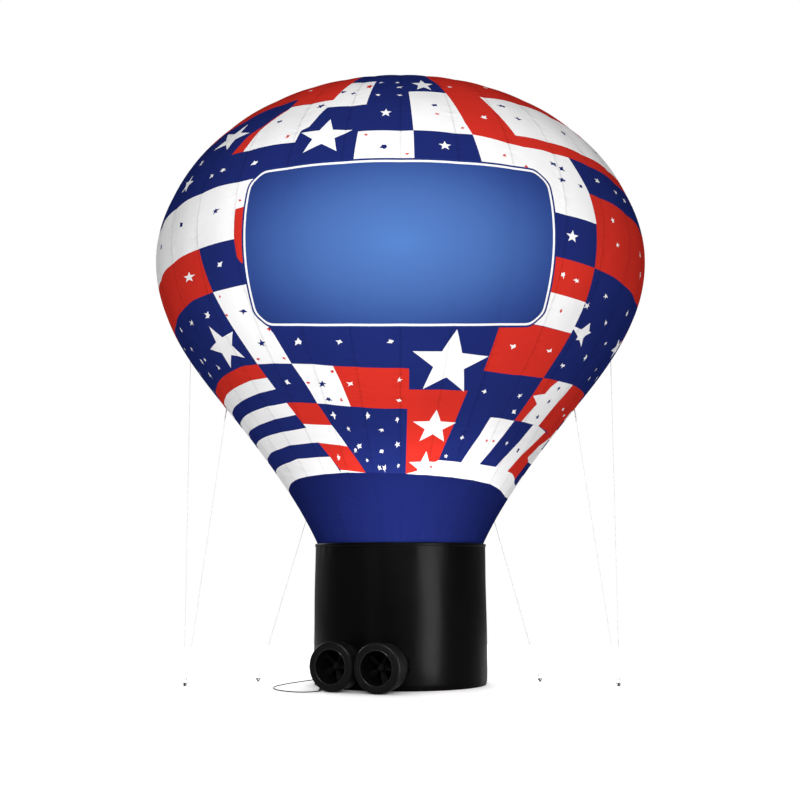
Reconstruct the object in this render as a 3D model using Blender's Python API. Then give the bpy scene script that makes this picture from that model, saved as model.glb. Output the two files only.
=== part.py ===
"""Ground-standing inflatable in the shape of a hot air balloon.

Origin on the floor under the drum's axis, +Z up, -Y towards the front banner, metres.
"""

import math

import bmesh
import bpy
from mathutils import Matrix, Vector
from mathutils.geometry import interpolate_bezier

# Gap between pieces that touch
GAP = 0.0003

# Envelope: outline from the crown to the neck as (radius, height)
CROWN_HEIGHT = 6.115
CROWN_SHOULDER = 1.818
EQUATOR_RADIUS = 2.520
EQUATOR_HEIGHT = 4.250
EQUATOR_PULL_UP = 0.677
EQUATOR_PULL_DOWN = 0.552
CONE_RADIUS = 1.790
CONE_HEIGHT = 2.768
CONE_ANGLE = math.radians(39.46)
CONE_PULL_UP = 0.693
CONE_PULL_DOWN = 0.515
NECK_RADIUS = 0.844
NECK_HEIGHT = 1.392
NECK_ANGLE = math.radians(25.06)
NECK_PULL = 0.554
OUTLINE_STEPS = 60
SHELL_WALL = 0.010
GORES = 30
SIDES = 2 * GORES

# Rings of the envelope and of the skirt, as lengths along the outline from the crown
RING_ARCS = [0.0, 0.30, 0.76, 1.21, 1.66, 2.11, 2.56, 3.01, 3.46, 3.91, 4.37, 4.86, 5.36, 5.74, 6.11]
SKIRT_ARCS = [6.11, 6.35, 6.60, 6.83, 6.86]
CLOTH = 0.003

# Banner: size of its cloth, upper edge along the outline, corner radius
BANNER_HALF_WIDTH = 1.450
BANNER_HEIGHT = 1.526
BANNER_TOP_ARC = 3.062
BANNER_CORNER = 0.160
BANNER_CORNER_STEPS = 4
BANNER_EDGE_STEPS = 8
# It follows the gores: half its turn at the upper edge and the growth for each metre downward,
# how far the lower corners rise, and the turn of its middle
BANNER_HALF_TURN = math.radians(32.30)
BANNER_TURN_GROWTH = math.radians(2.37)
BANNER_RISE = 0.097
BANNER_MIDDLE = math.radians(-0.35)
BANNER_CUTTER_NEAR = 0.72
BANNER_CUTTER_FAR = 1.40

# Crown patch, on the first two rings
PATCH_ARCS = [0.0, 0.30]

# Drum, outside as (radius, height) from the hem down
DRUM_OUTSIDE = [(0.862, 1.3597), (0.867, 0.95), (0.872, 0.50), (0.875, 0.16), (0.872, 0.05), (0.860, 0.0)]
DRUM_INNER_RADIUS = 0.8455
DRUM_FLOOR = 0.012
HEM_RADIUS = 0.867
HEM_HEIGHT = 0.032
HEM_INNER_RADIUS = 0.8447
HEM_EDGE = 0.006

# Blowers: name, x and y of the inlet's centre, angle of the axis from +Y towards +X in degrees
BLOWERS = [
    ("left", -0.658, -0.966, 27.7),
    ("right", -0.226, -1.172, 23.9),
]
BLOWER_SIDES = 32
RING_RADIUS = 0.235
DUCT_RADIUS = 0.157
RING_DEPTH = 0.070
HOUSING_RADIUS = 0.222
HOUSING_END = 0.250
SPIGOT_RADIUS = 0.164
SPIGOT_END = 0.290

# Fan and its motor, distances along the blower's axis from the inlet's face
FAN_BLADES = 5
FAN_TIP = 0.150
FAN_HUB = 0.042
FAN_FRONT = 0.098
FAN_BACK = 0.148
FAN_BORE = 0.0088
FAN_BORE_END = 0.110
BLADE_THICKNESS = 0.004
BLADE_CHORD = 0.070
BLADE_PITCH = math.radians(34)
SHAFT_RADIUS = 0.0082
MOTOR_RADIUS = 0.056
MOTOR_FRONT = 0.156
MOTOR_BACK = 0.246
STRUTS = 3
STRUT_SIZE = 0.014

# Sleeve from the spigot through the drum's wall
SLEEVE_WALL = 0.004
SLEEVE_START = HOUSING_END + 0.004
SLEEVE_END = 0.480
STRAP_WALL = 0.004
STRAP_START = 0.257
STRAP_END = 0.277

# Switch box low on the housing's left flank, with its cable gland
BOX_ANGLE = math.radians(213.75)
BOX_START = 0.120
BOX_END = 0.205
BOX_WIDTH = 0.064
BOX_DEPTH = 0.036
GLAND_RADIUS = 0.011
GLAND_LENGTH = 0.014
GLAND_SINK = 0.004

# Supply lead of the left blower
LEAD_DIAMETER = 0.009
LEAD_ON_FLOOR = LEAD_DIAMETER / 2 + 0.0003
RELIEF_LENGTH = 0.040
RELIEF_RADIUS = 0.0085
RELIEF_TIP = 0.0056
LEAD_SPACING = 0.023
# The lead's own points after the strain relief, until it reaches the coil
LEAD_ROUTE = [
    (-0.905, -0.652, 0.082),
    (-0.966, -0.612, 0.070),
    (-1.030, -0.562, 0.057),
    (-1.090, -0.510, 0.044),
    (-1.142, -0.467, 0.031),
    (-1.183, -0.447, 0.020),
    (-1.209, -0.463, 0.012),
    (-1.219, -0.508, 0.007),
    (-1.214, -0.577, LEAD_ON_FLOOR),
    (-1.196, -0.650, LEAD_ON_FLOOR),
    (-1.168, -0.722, LEAD_ON_FLOOR),
    (-1.130, -0.790, LEAD_ON_FLOOR),
    (-1.082, -0.852, LEAD_ON_FLOOR),
    (-1.030, -0.903, LEAD_ON_FLOOR),
    (-0.970, -0.937, LEAD_ON_FLOOR),
    (-0.908, -0.950, LEAD_ON_FLOOR),
    (-0.850, -0.938, LEAD_ON_FLOOR),
    (-0.803, -0.903, LEAD_ON_FLOOR),
    (-0.771, -0.853, LEAD_ON_FLOOR),
    (-0.757, -0.797, LEAD_ON_FLOOR),
    (-0.7592, -0.742, LEAD_ON_FLOOR),
    (-0.7733, -0.7078, LEAD_ON_FLOOR),
]
COIL_CENTRE = (-0.715, -0.682)
COIL_RADIUS = 0.050
COIL_ACROSS = 2
COIL_LAYERS = 2
COIL_SIDES = 32
PLUG_LENGTH = 0.048
PLUG_WIDTH = 0.032
PLUG_HEIGHT = 0.024
PLUG_EDGE = 0.005
PIN_LENGTH = 0.018
PIN_SINK = 0.004
PIN_WIDTH = 0.0065
PIN_THICKNESS = 0.0016
PIN_SPACING = 0.0127

# Ground anchors: name, x, y
ANCHORS = {
    "front_left": (-2.12, -0.26),
    "front_right": (2.145, -0.26),
    "rear_left": (-1.46, 0.285),
    "rear_right": (1.43, 0.275),
}
ANCHOR_PROFILE = [(0.018, 0.0), (0.018, 0.004), (0.014, 0.006), (0.0075, 0.008), (0.007, 0.020)]
ANCHOR_SIDES = 16
BAR_RADIUS = 0.0075
BAR_LENGTH = 0.048
BAR_HEIGHT = 0.0225
BAR_OFFSET = 0.010

# Guys: name, azimuth of the tie-down from the front in degrees, ring above it, anchor, place on the bar
GUYS = [
    ("left_1", -105, 9, "front_left", -1),
    ("left_2", -93, 11, "front_left", 1),
    ("left_3", -147, 12, "rear_left", 0),
    ("right_1", 105, 9, "front_right", 1),
    ("right_2", 93, 11, "front_right", -1),
    ("right_3", 147, 12, "rear_right", 0),
]
TIE_RADIUS = 0.052
TIE_THICKNESS = 0.005
WEB_LENGTH = 0.105
WEB_WIDTH = 0.026
WEB_THICKNESS = 0.003
WEB_LIFT = 0.0045
GUY_RADIUS = 0.003
GUY_SIDES = 8


def material(name, colour, roughness, metallic=0.0):
    made = bpy.data.materials.new(name)
    made.use_nodes = True
    shader = made.node_tree.nodes["Principled BSDF"]
    shader.inputs["Base Color"].default_value = (*colour, 1.0)
    shader.inputs["Roughness"].default_value = roughness
    shader.inputs["Metallic"].default_value = metallic
    return made


def finish_mesh(name, shape, surface, sharp_degrees=30):
    """Turn a bmesh into an object with outward faces and smooth round sides."""
    bmesh.ops.recalc_face_normals(shape, faces=shape.faces)
    mesh = bpy.data.meshes.new(name)
    shape.to_mesh(mesh)
    shape.free()
    mesh.shade_smooth()
    mesh.set_sharp_from_angle(angle=math.radians(sharp_degrees))
    made = bpy.data.objects.new(name, mesh)
    made.data.materials.append(surface)
    bpy.context.scene.collection.objects.link(made)
    return made


def hide_guide(guide):
    guide.hide_render = True
    guide.display_type = "WIRE"


def combine(target, guide, operation):
    """Join a guide to an object, cut it away or keep what they share."""
    hide_guide(guide)
    boolean = target.modifiers.new(operation.lower(), "BOOLEAN")
    boolean.operation = operation
    boolean.solver = "EXACT"
    boolean.object = guide


def close_rings(shape, rings, loop=False):
    """Join equal rings of vertices in order; a ring of one vertex is a pole."""
    pairs = list(zip(rings, rings[1:]))
    if loop:
        pairs.append((rings[-1], rings[0]))
    for upper, lower in pairs:
        count = max(len(upper), len(lower))
        for i in range(count):
            j = (i + 1) % count
            if len(upper) == 1:
                shape.faces.new((upper[0], lower[i], lower[j]))
            elif len(lower) == 1:
                shape.faces.new((upper[i], lower[0], upper[j]))
            else:
                shape.faces.new((upper[i], lower[i], lower[j], upper[j]))


def turned(name, profile, sides, surface, axis="Z", closed=True):
    """Turn (radius, place along the axis) points into a solid.

    A closed profile makes a ring; an open one gets a flat cap at each end.
    """
    shape = bmesh.new()
    rings = []
    for radius, along in profile:
        ring = []
        for i in range(sides):
            angle = 2 * math.pi * i / sides
            side, up = radius * math.cos(angle), radius * math.sin(angle)
            place = (side, up, along) if axis == "Z" else (side, along, up)
            ring.append(shape.verts.new(place))
        rings.append(ring)
    close_rings(shape, rings, loop=closed)
    if not closed:
        shape.faces.new(rings[0])
        shape.faces.new(rings[-1])
    return finish_mesh(name, shape, surface)


def block(name, low, high, surface):
    shape = bmesh.new()
    bmesh.ops.create_cube(shape, size=1.0)
    size = Vector(high) - Vector(low)
    middle = (Vector(high) + Vector(low)) / 2
    for vertex in shape.verts:
        vertex.co = Vector((vertex.co.x * size.x, vertex.co.y * size.y, vertex.co.z * size.z)) + middle
    return finish_mesh(name, shape, surface)


def rod(name, start, end, radius, sides, surface):
    """Straight round bar between two points."""
    shape = bmesh.new()
    run = Vector(end) - Vector(start)
    turn = run.to_track_quat("Z", "Y").to_matrix().to_4x4()
    place = Matrix.Translation((Vector(start) + Vector(end)) / 2) @ turn
    bmesh.ops.create_cone(
        shape, cap_ends=True, segments=sides, radius1=radius, radius2=radius, depth=run.length, matrix=place
    )
    return finish_mesh(name, shape, surface)


def envelope_outline():
    """Points of the outline from the crown to the neck, as (radius, height)."""
    cone = Vector((-math.sin(CONE_ANGLE), -math.cos(CONE_ANGLE)))
    neck = Vector((-math.sin(NECK_ANGLE), -math.cos(NECK_ANGLE)))
    crown_at = Vector((0.0, CROWN_HEIGHT))
    equator_at = Vector((EQUATOR_RADIUS, EQUATOR_HEIGHT))
    cone_at = Vector((CONE_RADIUS, CONE_HEIGHT))
    neck_at = Vector((NECK_RADIUS, NECK_HEIGHT))
    curves = [
        (crown_at, crown_at + Vector((CROWN_SHOULDER, 0)), equator_at + Vector((0, EQUATOR_PULL_UP)), equator_at),
        (equator_at, equator_at - Vector((0, EQUATOR_PULL_DOWN)), cone_at - cone * CONE_PULL_UP, cone_at),
        (cone_at, cone_at + cone * CONE_PULL_DOWN, neck_at - neck * NECK_PULL, neck_at),
    ]
    points = [crown_at]
    for curve in curves:
        points += interpolate_bezier(*curve, OUTLINE_STEPS)[1:]
    return points + [neck_at + neck * 0.10]


OUTLINE = envelope_outline()


def outline_at(arc):
    """Radius, height and outward normal at a length along the outline."""
    gone = 0.0
    for here, there in zip(OUTLINE, OUTLINE[1:]):
        step = (there - here).length
        if gone + step >= arc:
            break
        gone += step
    place = here + (there - here) * ((arc - gone) / step)
    run = (there - here).normalized()
    normal = Vector((0.0, 1.0)) if arc == 0 else Vector((-run.y, run.x))
    return place, normal


def envelope_point(azimuth, arc, offset=0.0):
    """Point of the envelope; azimuth 0 is the front, positive to the right."""
    place, normal = outline_at(arc)
    radius, height = place + normal * offset
    return Vector((radius * math.sin(azimuth), -radius * math.cos(azimuth), height))


def shell(name, arcs, outside, inside, surface):
    """Closed shell of the envelope's shape between two offsets from its outline."""
    shape = bmesh.new()

    def rings(offset):
        made = []
        for arc in arcs:
            count = 1 if arc == 0 else SIDES
            angles = [2 * math.pi * i / SIDES for i in range(count)]
            made.append([shape.verts.new(envelope_point(angle, arc, offset)) for angle in angles])
        return made

    outer, inner = rings(outside), rings(inside)
    close_rings(shape, outer)
    close_rings(shape, inner)
    close_rings(shape, [outer[-1], inner[-1]])
    if arcs[0] > 0:
        close_rings(shape, [outer[0], inner[0]])
    return finish_mesh(name, shape, surface, sharp_degrees=50)


def banner_outline():
    """Rounded rectangle of the banner's cloth laid on the envelope, as (azimuth, arc) points."""
    side, foot = BANNER_HALF_WIDTH - BANNER_CORNER, BANNER_HEIGHT - BANNER_CORNER
    flat = []
    for x, y, quarter in ((side, BANNER_CORNER, 0), (side, foot, 1), (-side, foot, 2), (-side, BANNER_CORNER, 3)):
        for step in range(BANNER_CORNER_STEPS + 1):
            angle = (quarter + step / BANNER_CORNER_STEPS) * math.pi / 2
            flat.append((x + BANNER_CORNER * math.sin(angle), y - BANNER_CORNER * math.cos(angle)))
        if quarter == 1:
            for step in range(1, BANNER_EDGE_STEPS):
                flat.append((side - 2 * side * step / BANNER_EDGE_STEPS, BANNER_HEIGHT))
    points = []
    for x, y in flat:
        share = x / BANNER_HALF_WIDTH
        arc = BANNER_TOP_ARC + y - BANNER_RISE * share**2 * y / BANNER_HEIGHT
        half_turn = BANNER_HALF_TURN + BANNER_TURN_GROWTH * (arc - BANNER_TOP_ARC)
        points.append((BANNER_MIDDLE + share * half_turn, arc))
    return points


def banner_guide():
    """Solid through the envelope whose sides run outward from its axis."""
    shape = bmesh.new()
    rings = []
    for reach in (BANNER_CUTTER_NEAR, BANNER_CUTTER_FAR):
        ring = []
        for azimuth, arc in banner_outline():
            at = envelope_point(azimuth, arc)
            ring.append(shape.verts.new((at.x * reach, at.y * reach, at.z)))
        middle = envelope_point(BANNER_MIDDLE, BANNER_TOP_ARC + BANNER_HEIGHT / 2)
        centre = shape.verts.new((middle.x * reach, middle.y * reach, middle.z))
        rings.append(ring)
        close_rings(shape, [[centre], ring])
    close_rings(shape, rings)
    return finish_mesh("banner_guide", shape, looks["banner_blue"])


def build_envelope():
    shell("envelope", RING_ARCS, 0.0, -SHELL_WALL, looks["print_cloth"])
    skirt = shell("neck_skirt", SKIRT_ARCS, 0.0, -SHELL_WALL, looks["navy_cloth"])
    skirt.location.z = -GAP
    shell("crown_patch", PATCH_ARCS, GAP + CLOTH, GAP, looks["navy_cloth"])
    guide = banner_guide()
    banner_arcs = [arc for arc in RING_ARCS if 3.0 < arc < 5.0]
    for name, turn in (("banner_front", 0.0), ("banner_rear", math.pi)):
        banner = shell(name, banner_arcs, GAP + CLOTH, GAP, looks["banner_blue"])
        banner.rotation_euler.z = turn
        cut = guide if turn == 0 else guide.copy()
        if turn:
            bpy.context.scene.collection.objects.link(cut)
            cut.rotation_euler.z = turn
        combine(banner, cut, "INTERSECT")


def build_drum(sleeve_guides):
    inside = [(DRUM_INNER_RADIUS, 0.0), (DRUM_INNER_RADIUS, DRUM_OUTSIDE[0][1])]
    wall = turned("drum_wall", DRUM_OUTSIDE + inside, SIDES, looks["black_vinyl"])
    for guide in sleeve_guides:
        combine(wall, guide, "DIFFERENCE")
    top = NECK_HEIGHT
    hem = [
        (HEM_INNER_RADIUS, top),
        (HEM_RADIUS - HEM_EDGE, top),
        (HEM_RADIUS, top - HEM_EDGE),
        (HEM_RADIUS, top - HEM_HEIGHT + HEM_EDGE),
        (HEM_RADIUS - HEM_EDGE, top - HEM_HEIGHT),
        (HEM_INNER_RADIUS, top - HEM_HEIGHT),
    ]
    turned("drum_hem", hem, SIDES, looks["black_vinyl"])
    radius = DRUM_INNER_RADIUS - GAP
    turned("drum_floor", [(radius, 0.0), (radius, DRUM_FLOOR)], SIDES, looks["black_vinyl"], closed=False)


def blower_frame(side, x, y, angle):
    """Empty at the centre of the inlet's face, its +Y along the blower's axis."""
    frame = bpy.data.objects.new(f"blower_{side}_frame", None)
    frame.location = (x, y, RING_RADIUS)
    frame.rotation_euler.z = -math.radians(angle)
    bpy.context.scene.collection.objects.link(frame)
    return frame


def build_housing(side):
    ring = [
        (DUCT_RADIUS, RING_DEPTH - GAP),
        (DUCT_RADIUS, 0.022),
        (0.164, 0.006),
        (0.174, 0.0),
        (0.208, 0.0),
        (RING_RADIUS, 0.024),
        (RING_RADIUS, 0.060),
        (0.228, RING_DEPTH - GAP),
    ]
    made = [turned(f"inlet_ring_{side}", ring, BLOWER_SIDES, looks["black_plastic"], axis="Y")]
    housing = [
        (DUCT_RADIUS, RING_DEPTH),
        (HOUSING_RADIUS - 0.006, RING_DEPTH),
        (HOUSING_RADIUS, RING_DEPTH + 0.008),
        (HOUSING_RADIUS, 0.212),
        (0.214, 0.238),
        (0.190, HOUSING_END),
        (SPIGOT_RADIUS, HOUSING_END),
        (SPIGOT_RADIUS, SPIGOT_END),
        (DUCT_RADIUS, SPIGOT_END),
    ]
    made.append(turned(f"blower_housing_{side}", housing, BLOWER_SIDES, looks["black_plastic"], axis="Y"))
    return made


def build_sleeve(side):
    inner = SPIGOT_RADIUS + GAP
    outer = inner + SLEEVE_WALL
    tube = [(inner, SLEEVE_START), (outer, SLEEVE_START), (outer, SLEEVE_END), (inner, SLEEVE_END)]
    band = outer + GAP
    strap = [
        (band, STRAP_START),
        (band + STRAP_WALL, STRAP_START),
        (band + STRAP_WALL, STRAP_END),
        (band, STRAP_END),
    ]
    return [
        turned(f"air_sleeve_{side}", tube, BLOWER_SIDES, looks["black_vinyl"], axis="Y"),
        turned(f"sleeve_strap_{side}", strap, BLOWER_SIDES, looks["webbing"], axis="Y"),
    ]


def sleeve_guide(side):
    """Bore through the drum's wall for a sleeve."""
    radius = SPIGOT_RADIUS + GAP + SLEEVE_WALL + GAP
    bore = [(radius, 0.10), (radius, SLEEVE_END + 0.05)]
    return turned(f"sleeve_guide_{side}", bore, BLOWER_SIDES, looks["black_vinyl"], axis="Y", closed=False)


def build_motor(side):
    """Motor block on three struts, with the shaft that carries the fan."""
    profile = [
        (SHAFT_RADIUS, FAN_BORE_END + GAP),
        (SHAFT_RADIUS, MOTOR_FRONT),
        (MOTOR_RADIUS - 0.008, MOTOR_FRONT),
        (MOTOR_RADIUS, MOTOR_FRONT + 0.008),
        (MOTOR_RADIUS, MOTOR_BACK - 0.008),
        (MOTOR_RADIUS - 0.008, MOTOR_BACK),
    ]
    motor = turned(f"fan_motor_{side}", profile, BLOWER_SIDES, looks["dark_metal"], axis="Y", closed=False)
    reach = DUCT_RADIUS * math.cos(math.pi / BLOWER_SIDES) - GAP
    middle = (MOTOR_FRONT + MOTOR_BACK) / 2
    guides = []
    for i in range(STRUTS):
        low = (MOTOR_RADIUS - 0.010, middle - STRUT_SIZE, -STRUT_SIZE / 2)
        high = (reach, middle + STRUT_SIZE, STRUT_SIZE / 2)
        strut = block(f"strut_guide_{side}_{i}", low, high, looks["dark_metal"])
        strut.rotation_euler.y = math.pi / 2 + i * 2 * math.pi / STRUTS
        combine(motor, strut, "UNION")
        guides.append(strut)
    return [motor] + guides


def build_fan(side):
    """Hub with pitched blades, turning on the motor's shaft."""
    hub_profile = [
        (0.018, FAN_FRONT),
        (FAN_HUB, FAN_FRONT + 0.014),
        (FAN_HUB, FAN_BACK),
        (FAN_BORE, FAN_BACK),
        (FAN_BORE, FAN_BORE_END),
    ]
    fan = turned(f"fan_{side}", hub_profile, BLOWER_SIDES, looks["grey_plastic"], axis="Y", closed=False)
    shape = bmesh.new()
    middle = (FAN_FRONT + FAN_BACK) / 2 + 0.004
    root_twist, tip_twist = BLADE_PITCH + math.radians(12), BLADE_PITCH - math.radians(8)
    sections = [(FAN_HUB - 0.012, 0.5, root_twist), (0.09, 0.85, BLADE_PITCH), (FAN_TIP, 1.0, tip_twist)]
    for blade in range(FAN_BLADES):
        turn = Matrix.Rotation(2 * math.pi * blade / FAN_BLADES, 4, "Y")
        rings = []
        for radius, width, twist in sections:
            half = BLADE_CHORD * width / 2
            across = Vector((0, math.sin(twist), math.cos(twist)))
            thick = Vector((0, math.cos(twist), -math.sin(twist))) * BLADE_THICKNESS / 2
            reach = math.sqrt(radius * radius - (half * math.cos(twist)) ** 2)
            centre = Vector((reach, middle, 0))
            corners = [
                centre + across * half + thick,
                centre - across * half + thick,
                centre - across * half - thick,
                centre + across * half - thick,
            ]
            rings.append([shape.verts.new(turn @ corner) for corner in corners])
        close_rings(shape, rings)
        shape.faces.new(rings[0])
        shape.faces.new(rings[-1])
    blades = finish_mesh(f"blade_guide_{side}", shape, looks["grey_plastic"])
    combine(fan, blades, "UNION")
    return [fan, blades]


def build_switch_box(side):
    """Box on the housing's flank, its gland pointing out to the left."""
    low = (HOUSING_RADIUS + GAP, BOX_START, -BOX_WIDTH / 2)
    high = (HOUSING_RADIUS + BOX_DEPTH, BOX_END, BOX_WIDTH / 2)
    box = block(f"switch_box_{side}", low, high, looks["black_plastic"])
    box.rotation_euler.y = -BOX_ANGLE
    bevel = box.modifiers.new("edges", "BEVEL")
    bevel.width = 0.003
    bevel.segments = 1
    at = gland_place()
    outward = Vector((-1, 0, 0))
    gland = rod(
        f"gland_guide_{side}", at - outward * GLAND_SINK, at + outward * GLAND_LENGTH, GLAND_RADIUS, 12,
        looks["black_plastic"],
    )
    combine(box, gland, "UNION")
    return [box, gland]


def gland_place():
    """Middle of the box's outer face, in the blower's frame."""
    reach = HOUSING_RADIUS + BOX_DEPTH - 0.002
    return Vector((reach * math.cos(BOX_ANGLE), (BOX_START + BOX_END) / 2, reach * math.sin(BOX_ANGLE)))


def build_blowers():
    guides = []
    for side, x, y, angle in BLOWERS:
        frame = blower_frame(side, x, y, angle)
        pieces = build_housing(side) + build_sleeve(side) + build_motor(side) + build_fan(side)
        pieces += build_switch_box(side)
        guide = sleeve_guide(side)
        guides.append(guide)
        for piece in pieces + [guide]:
            piece.parent = frame
    return guides


def smooth_route(points, spacing):
    """Even points on a smooth curve through the given ones."""
    dense = []
    ends = [points[0] * 2 - points[1]] + points + [points[-1] * 2 - points[-2]]
    steps = 24
    for before, start, end, after in zip(ends, ends[1:], ends[2:], ends[3:]):
        for step in range(steps):
            t = step / steps
            pull_start, pull_end = (end - before) / 2, (after - start) / 2
            dense.append(
                start * (2 * t**3 - 3 * t**2 + 1)
                + pull_start * (t**3 - 2 * t**2 + t)
                + end * (3 * t**2 - 2 * t**3)
                + pull_end * (t**3 - t**2)
            )
    dense.append(points[-1])
    total = sum((b - a).length for a, b in zip(dense, dense[1:]))
    count = round(total / spacing)
    even = [dense[0]]
    gone, wanted = 0.0, total / count
    for a, b in zip(dense, dense[1:]):
        step = (b - a).length
        while gone + step >= wanted and len(even) < count:
            even.append(a + (b - a) * ((wanted - gone) / step))
            wanted += total / count
        gone += step
    return even + [dense[-1]]


def lead_exit():
    """Tip of the left blower's gland and the direction it points in, in the world."""
    _, x, y, angle = BLOWERS[0]
    turn = Matrix.Rotation(-math.radians(angle), 3, "Z")
    outward = turn @ Vector((-1, 0, 0))
    at = Vector((x, y, RING_RADIUS)) + turn @ gland_place() + outward * GLAND_LENGTH
    return at, outward


def build_lead():
    """Supply lead: strain relief, the loop on the floor, the coil and the plug."""
    at, outward = lead_exit()
    shape = bmesh.new()
    start = at + outward * GAP
    end = at + outward * RELIEF_LENGTH
    turn = outward.to_track_quat("Z", "Y").to_matrix().to_4x4()
    place = Matrix.Translation((start + end) / 2) @ turn
    bmesh.ops.create_cone(
        shape, cap_ends=True, segments=12, radius1=RELIEF_RADIUS, radius2=RELIEF_TIP,
        depth=(end - start).length, matrix=place,
    )
    finish_mesh("strain_relief", shape, looks["black_rubber"])

    first = end + outward * GAP
    route = [first, first + outward * 0.025] + [Vector(point) for point in LEAD_ROUTE]
    curve = bpy.data.curves.new("lead_tube", "CURVE")
    curve.dimensions = "3D"
    curve.bevel_depth = LEAD_DIAMETER / 2
    curve.bevel_resolution = 2
    curve.use_fill_caps = True
    line = curve.splines.new("POLY")
    points = smooth_route(route, LEAD_SPACING)
    line.points.add(len(points) - 1)
    for made, point in zip(line.points, points):
        made.co = (*point, 1.0)
    curve.materials.append(looks["black_rubber"])
    bpy.context.scene.collection.objects.link(bpy.data.objects.new("lead_tube", curve))

    half = COIL_ACROSS * LEAD_DIAMETER / 2
    height = COIL_LAYERS * LEAD_DIAMETER + 0.001
    section = [
        (COIL_RADIUS - half, 0.0),
        (COIL_RADIUS + half, 0.0),
        (COIL_RADIUS + half, height),
        (COIL_RADIUS - half, height),
    ]
    coil = turned("lead_coil", section, COIL_SIDES, looks["black_rubber"])
    coil.location = (*COIL_CENTRE, 0.0)
    build_plug(height + GAP)


def build_plug(floor):
    """Moulded plug with two blades, lying along the coil's turns on their right side."""
    x, y = COIL_CENTRE[0] + COIL_RADIUS, COIL_CENTRE[1]
    low = (x - PLUG_WIDTH / 2, y - PLUG_LENGTH / 2, floor)
    high = (x + PLUG_WIDTH / 2, y + PLUG_LENGTH / 2, floor + PLUG_HEIGHT)
    plug = block("lead_plug", low, high, looks["black_rubber"])
    bevel = plug.modifiers.new("edges", "BEVEL")
    bevel.width = PLUG_EDGE
    bevel.segments = 2
    face, middle = low[1], floor + PLUG_HEIGHT / 2
    for i, across in enumerate((-PIN_SPACING / 2, PIN_SPACING / 2)):
        pin = block(
            f"blade_pin_guide_{i}",
            (x + across - PIN_THICKNESS / 2, face - PIN_LENGTH, middle - PIN_WIDTH / 2),
            (x + across + PIN_THICKNESS / 2, face + PIN_SINK, middle + PIN_WIDTH / 2),
            looks["dark_metal"],
        )
        combine(plug, pin, "UNION")


def anchor_bar_place(anchor, slot):
    """Point on the axis of an anchor's cross bar; slot is -1, 0 or 1 along +X."""
    x, y = ANCHORS[anchor]
    return Vector((x + slot * BAR_OFFSET, y, BAR_HEIGHT))


def build_anchors():
    for name, (x, y) in ANCHORS.items():
        anchor = turned(f"ground_anchor_{name}", ANCHOR_PROFILE, ANCHOR_SIDES, looks["dark_metal"], closed=False)
        anchor.location = (x, y, 0.0)
        half = Vector((BAR_LENGTH / 2, 0, 0))
        middle = anchor_bar_place(name, 0)
        bar = rod(f"bar_guide_{name}", middle - half, middle + half, BAR_RADIUS, 12, looks["dark_metal"])
        combine(anchor, bar, "UNION")


def tie_facet(azimuth, ring):
    """Middle and outward normal of the flat facet that carries a tie-down."""
    step = math.pi / SIDES
    upper, lower = RING_ARCS[ring], RING_ARCS[ring + 1]
    corners = [envelope_point(azimuth + turn, arc) for arc in (upper, lower) for turn in (-step, step)]
    middle = sum(corners, Vector()) / 4
    normal = (corners[1] - corners[0]).cross(corners[2] - corners[0]).normalized()
    outward = Vector((middle.x, middle.y, 0))
    return middle, normal if normal.dot(outward) > 0 else -normal


def build_guys():
    for name, degrees, ring, anchor, slot in GUYS:
        middle, normal = tie_facet(math.radians(degrees), ring)
        foot = anchor_bar_place(anchor, slot)
        start = middle + normal * WEB_LIFT
        run = (foot - start).normalized()
        patch = rod(
            f"tie_down_{name}", middle + normal * GAP, middle + normal * TIE_THICKNESS, TIE_RADIUS, 24,
            looks["navy_cloth"],
        )
        across = run.cross(normal).normalized()
        thick = across.cross(run).normalized()
        web = block(
            f"web_guide_{name}",
            (0, -WEB_WIDTH / 2, -WEB_THICKNESS / 2),
            (WEB_LENGTH, WEB_WIDTH / 2, WEB_THICKNESS / 2),
            looks["webbing"],
        )
        turn = Matrix((run, across, thick)).transposed().to_4x4()
        web.matrix_world = Matrix.Translation(start) @ turn
        combine(patch, web, "UNION")
        top = start + run * (WEB_LENGTH + GAP)
        # The bar lies along X, and the guy's flat end leans on it by the guy's own slope
        reach = (BAR_RADIUS + GAP + GUY_RADIUS * abs(run.x)) / math.sqrt(1 - run.x**2)
        end = foot - run * reach
        rod(f"guy_{name}", top, end, GUY_RADIUS, GUY_SIDES, looks["pale_rope"])


for old in list(bpy.data.objects):
    bpy.data.objects.remove(old, do_unlink=True)

looks = {
    "print_cloth": material("print_cloth", (0.70, 0.10, 0.08), 0.55),
    "navy_cloth": material("navy_cloth", (0.03, 0.04, 0.19), 0.55),
    "banner_blue": material("banner_blue", (0.08, 0.13, 0.35), 0.50),
    "black_vinyl": material("black_vinyl", (0.012, 0.011, 0.012), 0.40),
    "black_plastic": material("black_plastic", (0.012, 0.012, 0.013), 0.45),
    "grey_plastic": material("grey_plastic", (0.06, 0.06, 0.065), 0.50),
    "dark_metal": material("dark_metal", (0.03, 0.03, 0.03), 0.45, metallic=0.8),
    "webbing": material("webbing", (0.02, 0.02, 0.02), 0.80),
    "pale_rope": material("pale_rope", (0.80, 0.79, 0.80), 0.80),
    "black_rubber": material("black_rubber", (0.010, 0.010, 0.011), 0.60),
}

build_envelope()
build_drum(build_blowers())
build_lead()
build_anchors()
build_guys()
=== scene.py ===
"""Looks of a ground-standing inflatable in the shape of a hot air balloon.

Everything is in metres in the frame's axes: origin on the floor under the drum's axis, +Z up,
-Y towards the front banner. An azimuth is in degrees from the front, positive to the right.
An arc is the length along the envelope's outline from the crown.
"""

import math
import random

import bmesh
import bpy
import numpy as np
from mathutils import Matrix, Vector, kdtree
from mathutils.geometry import delaunay_2d_cdt, interpolate_bezier


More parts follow.
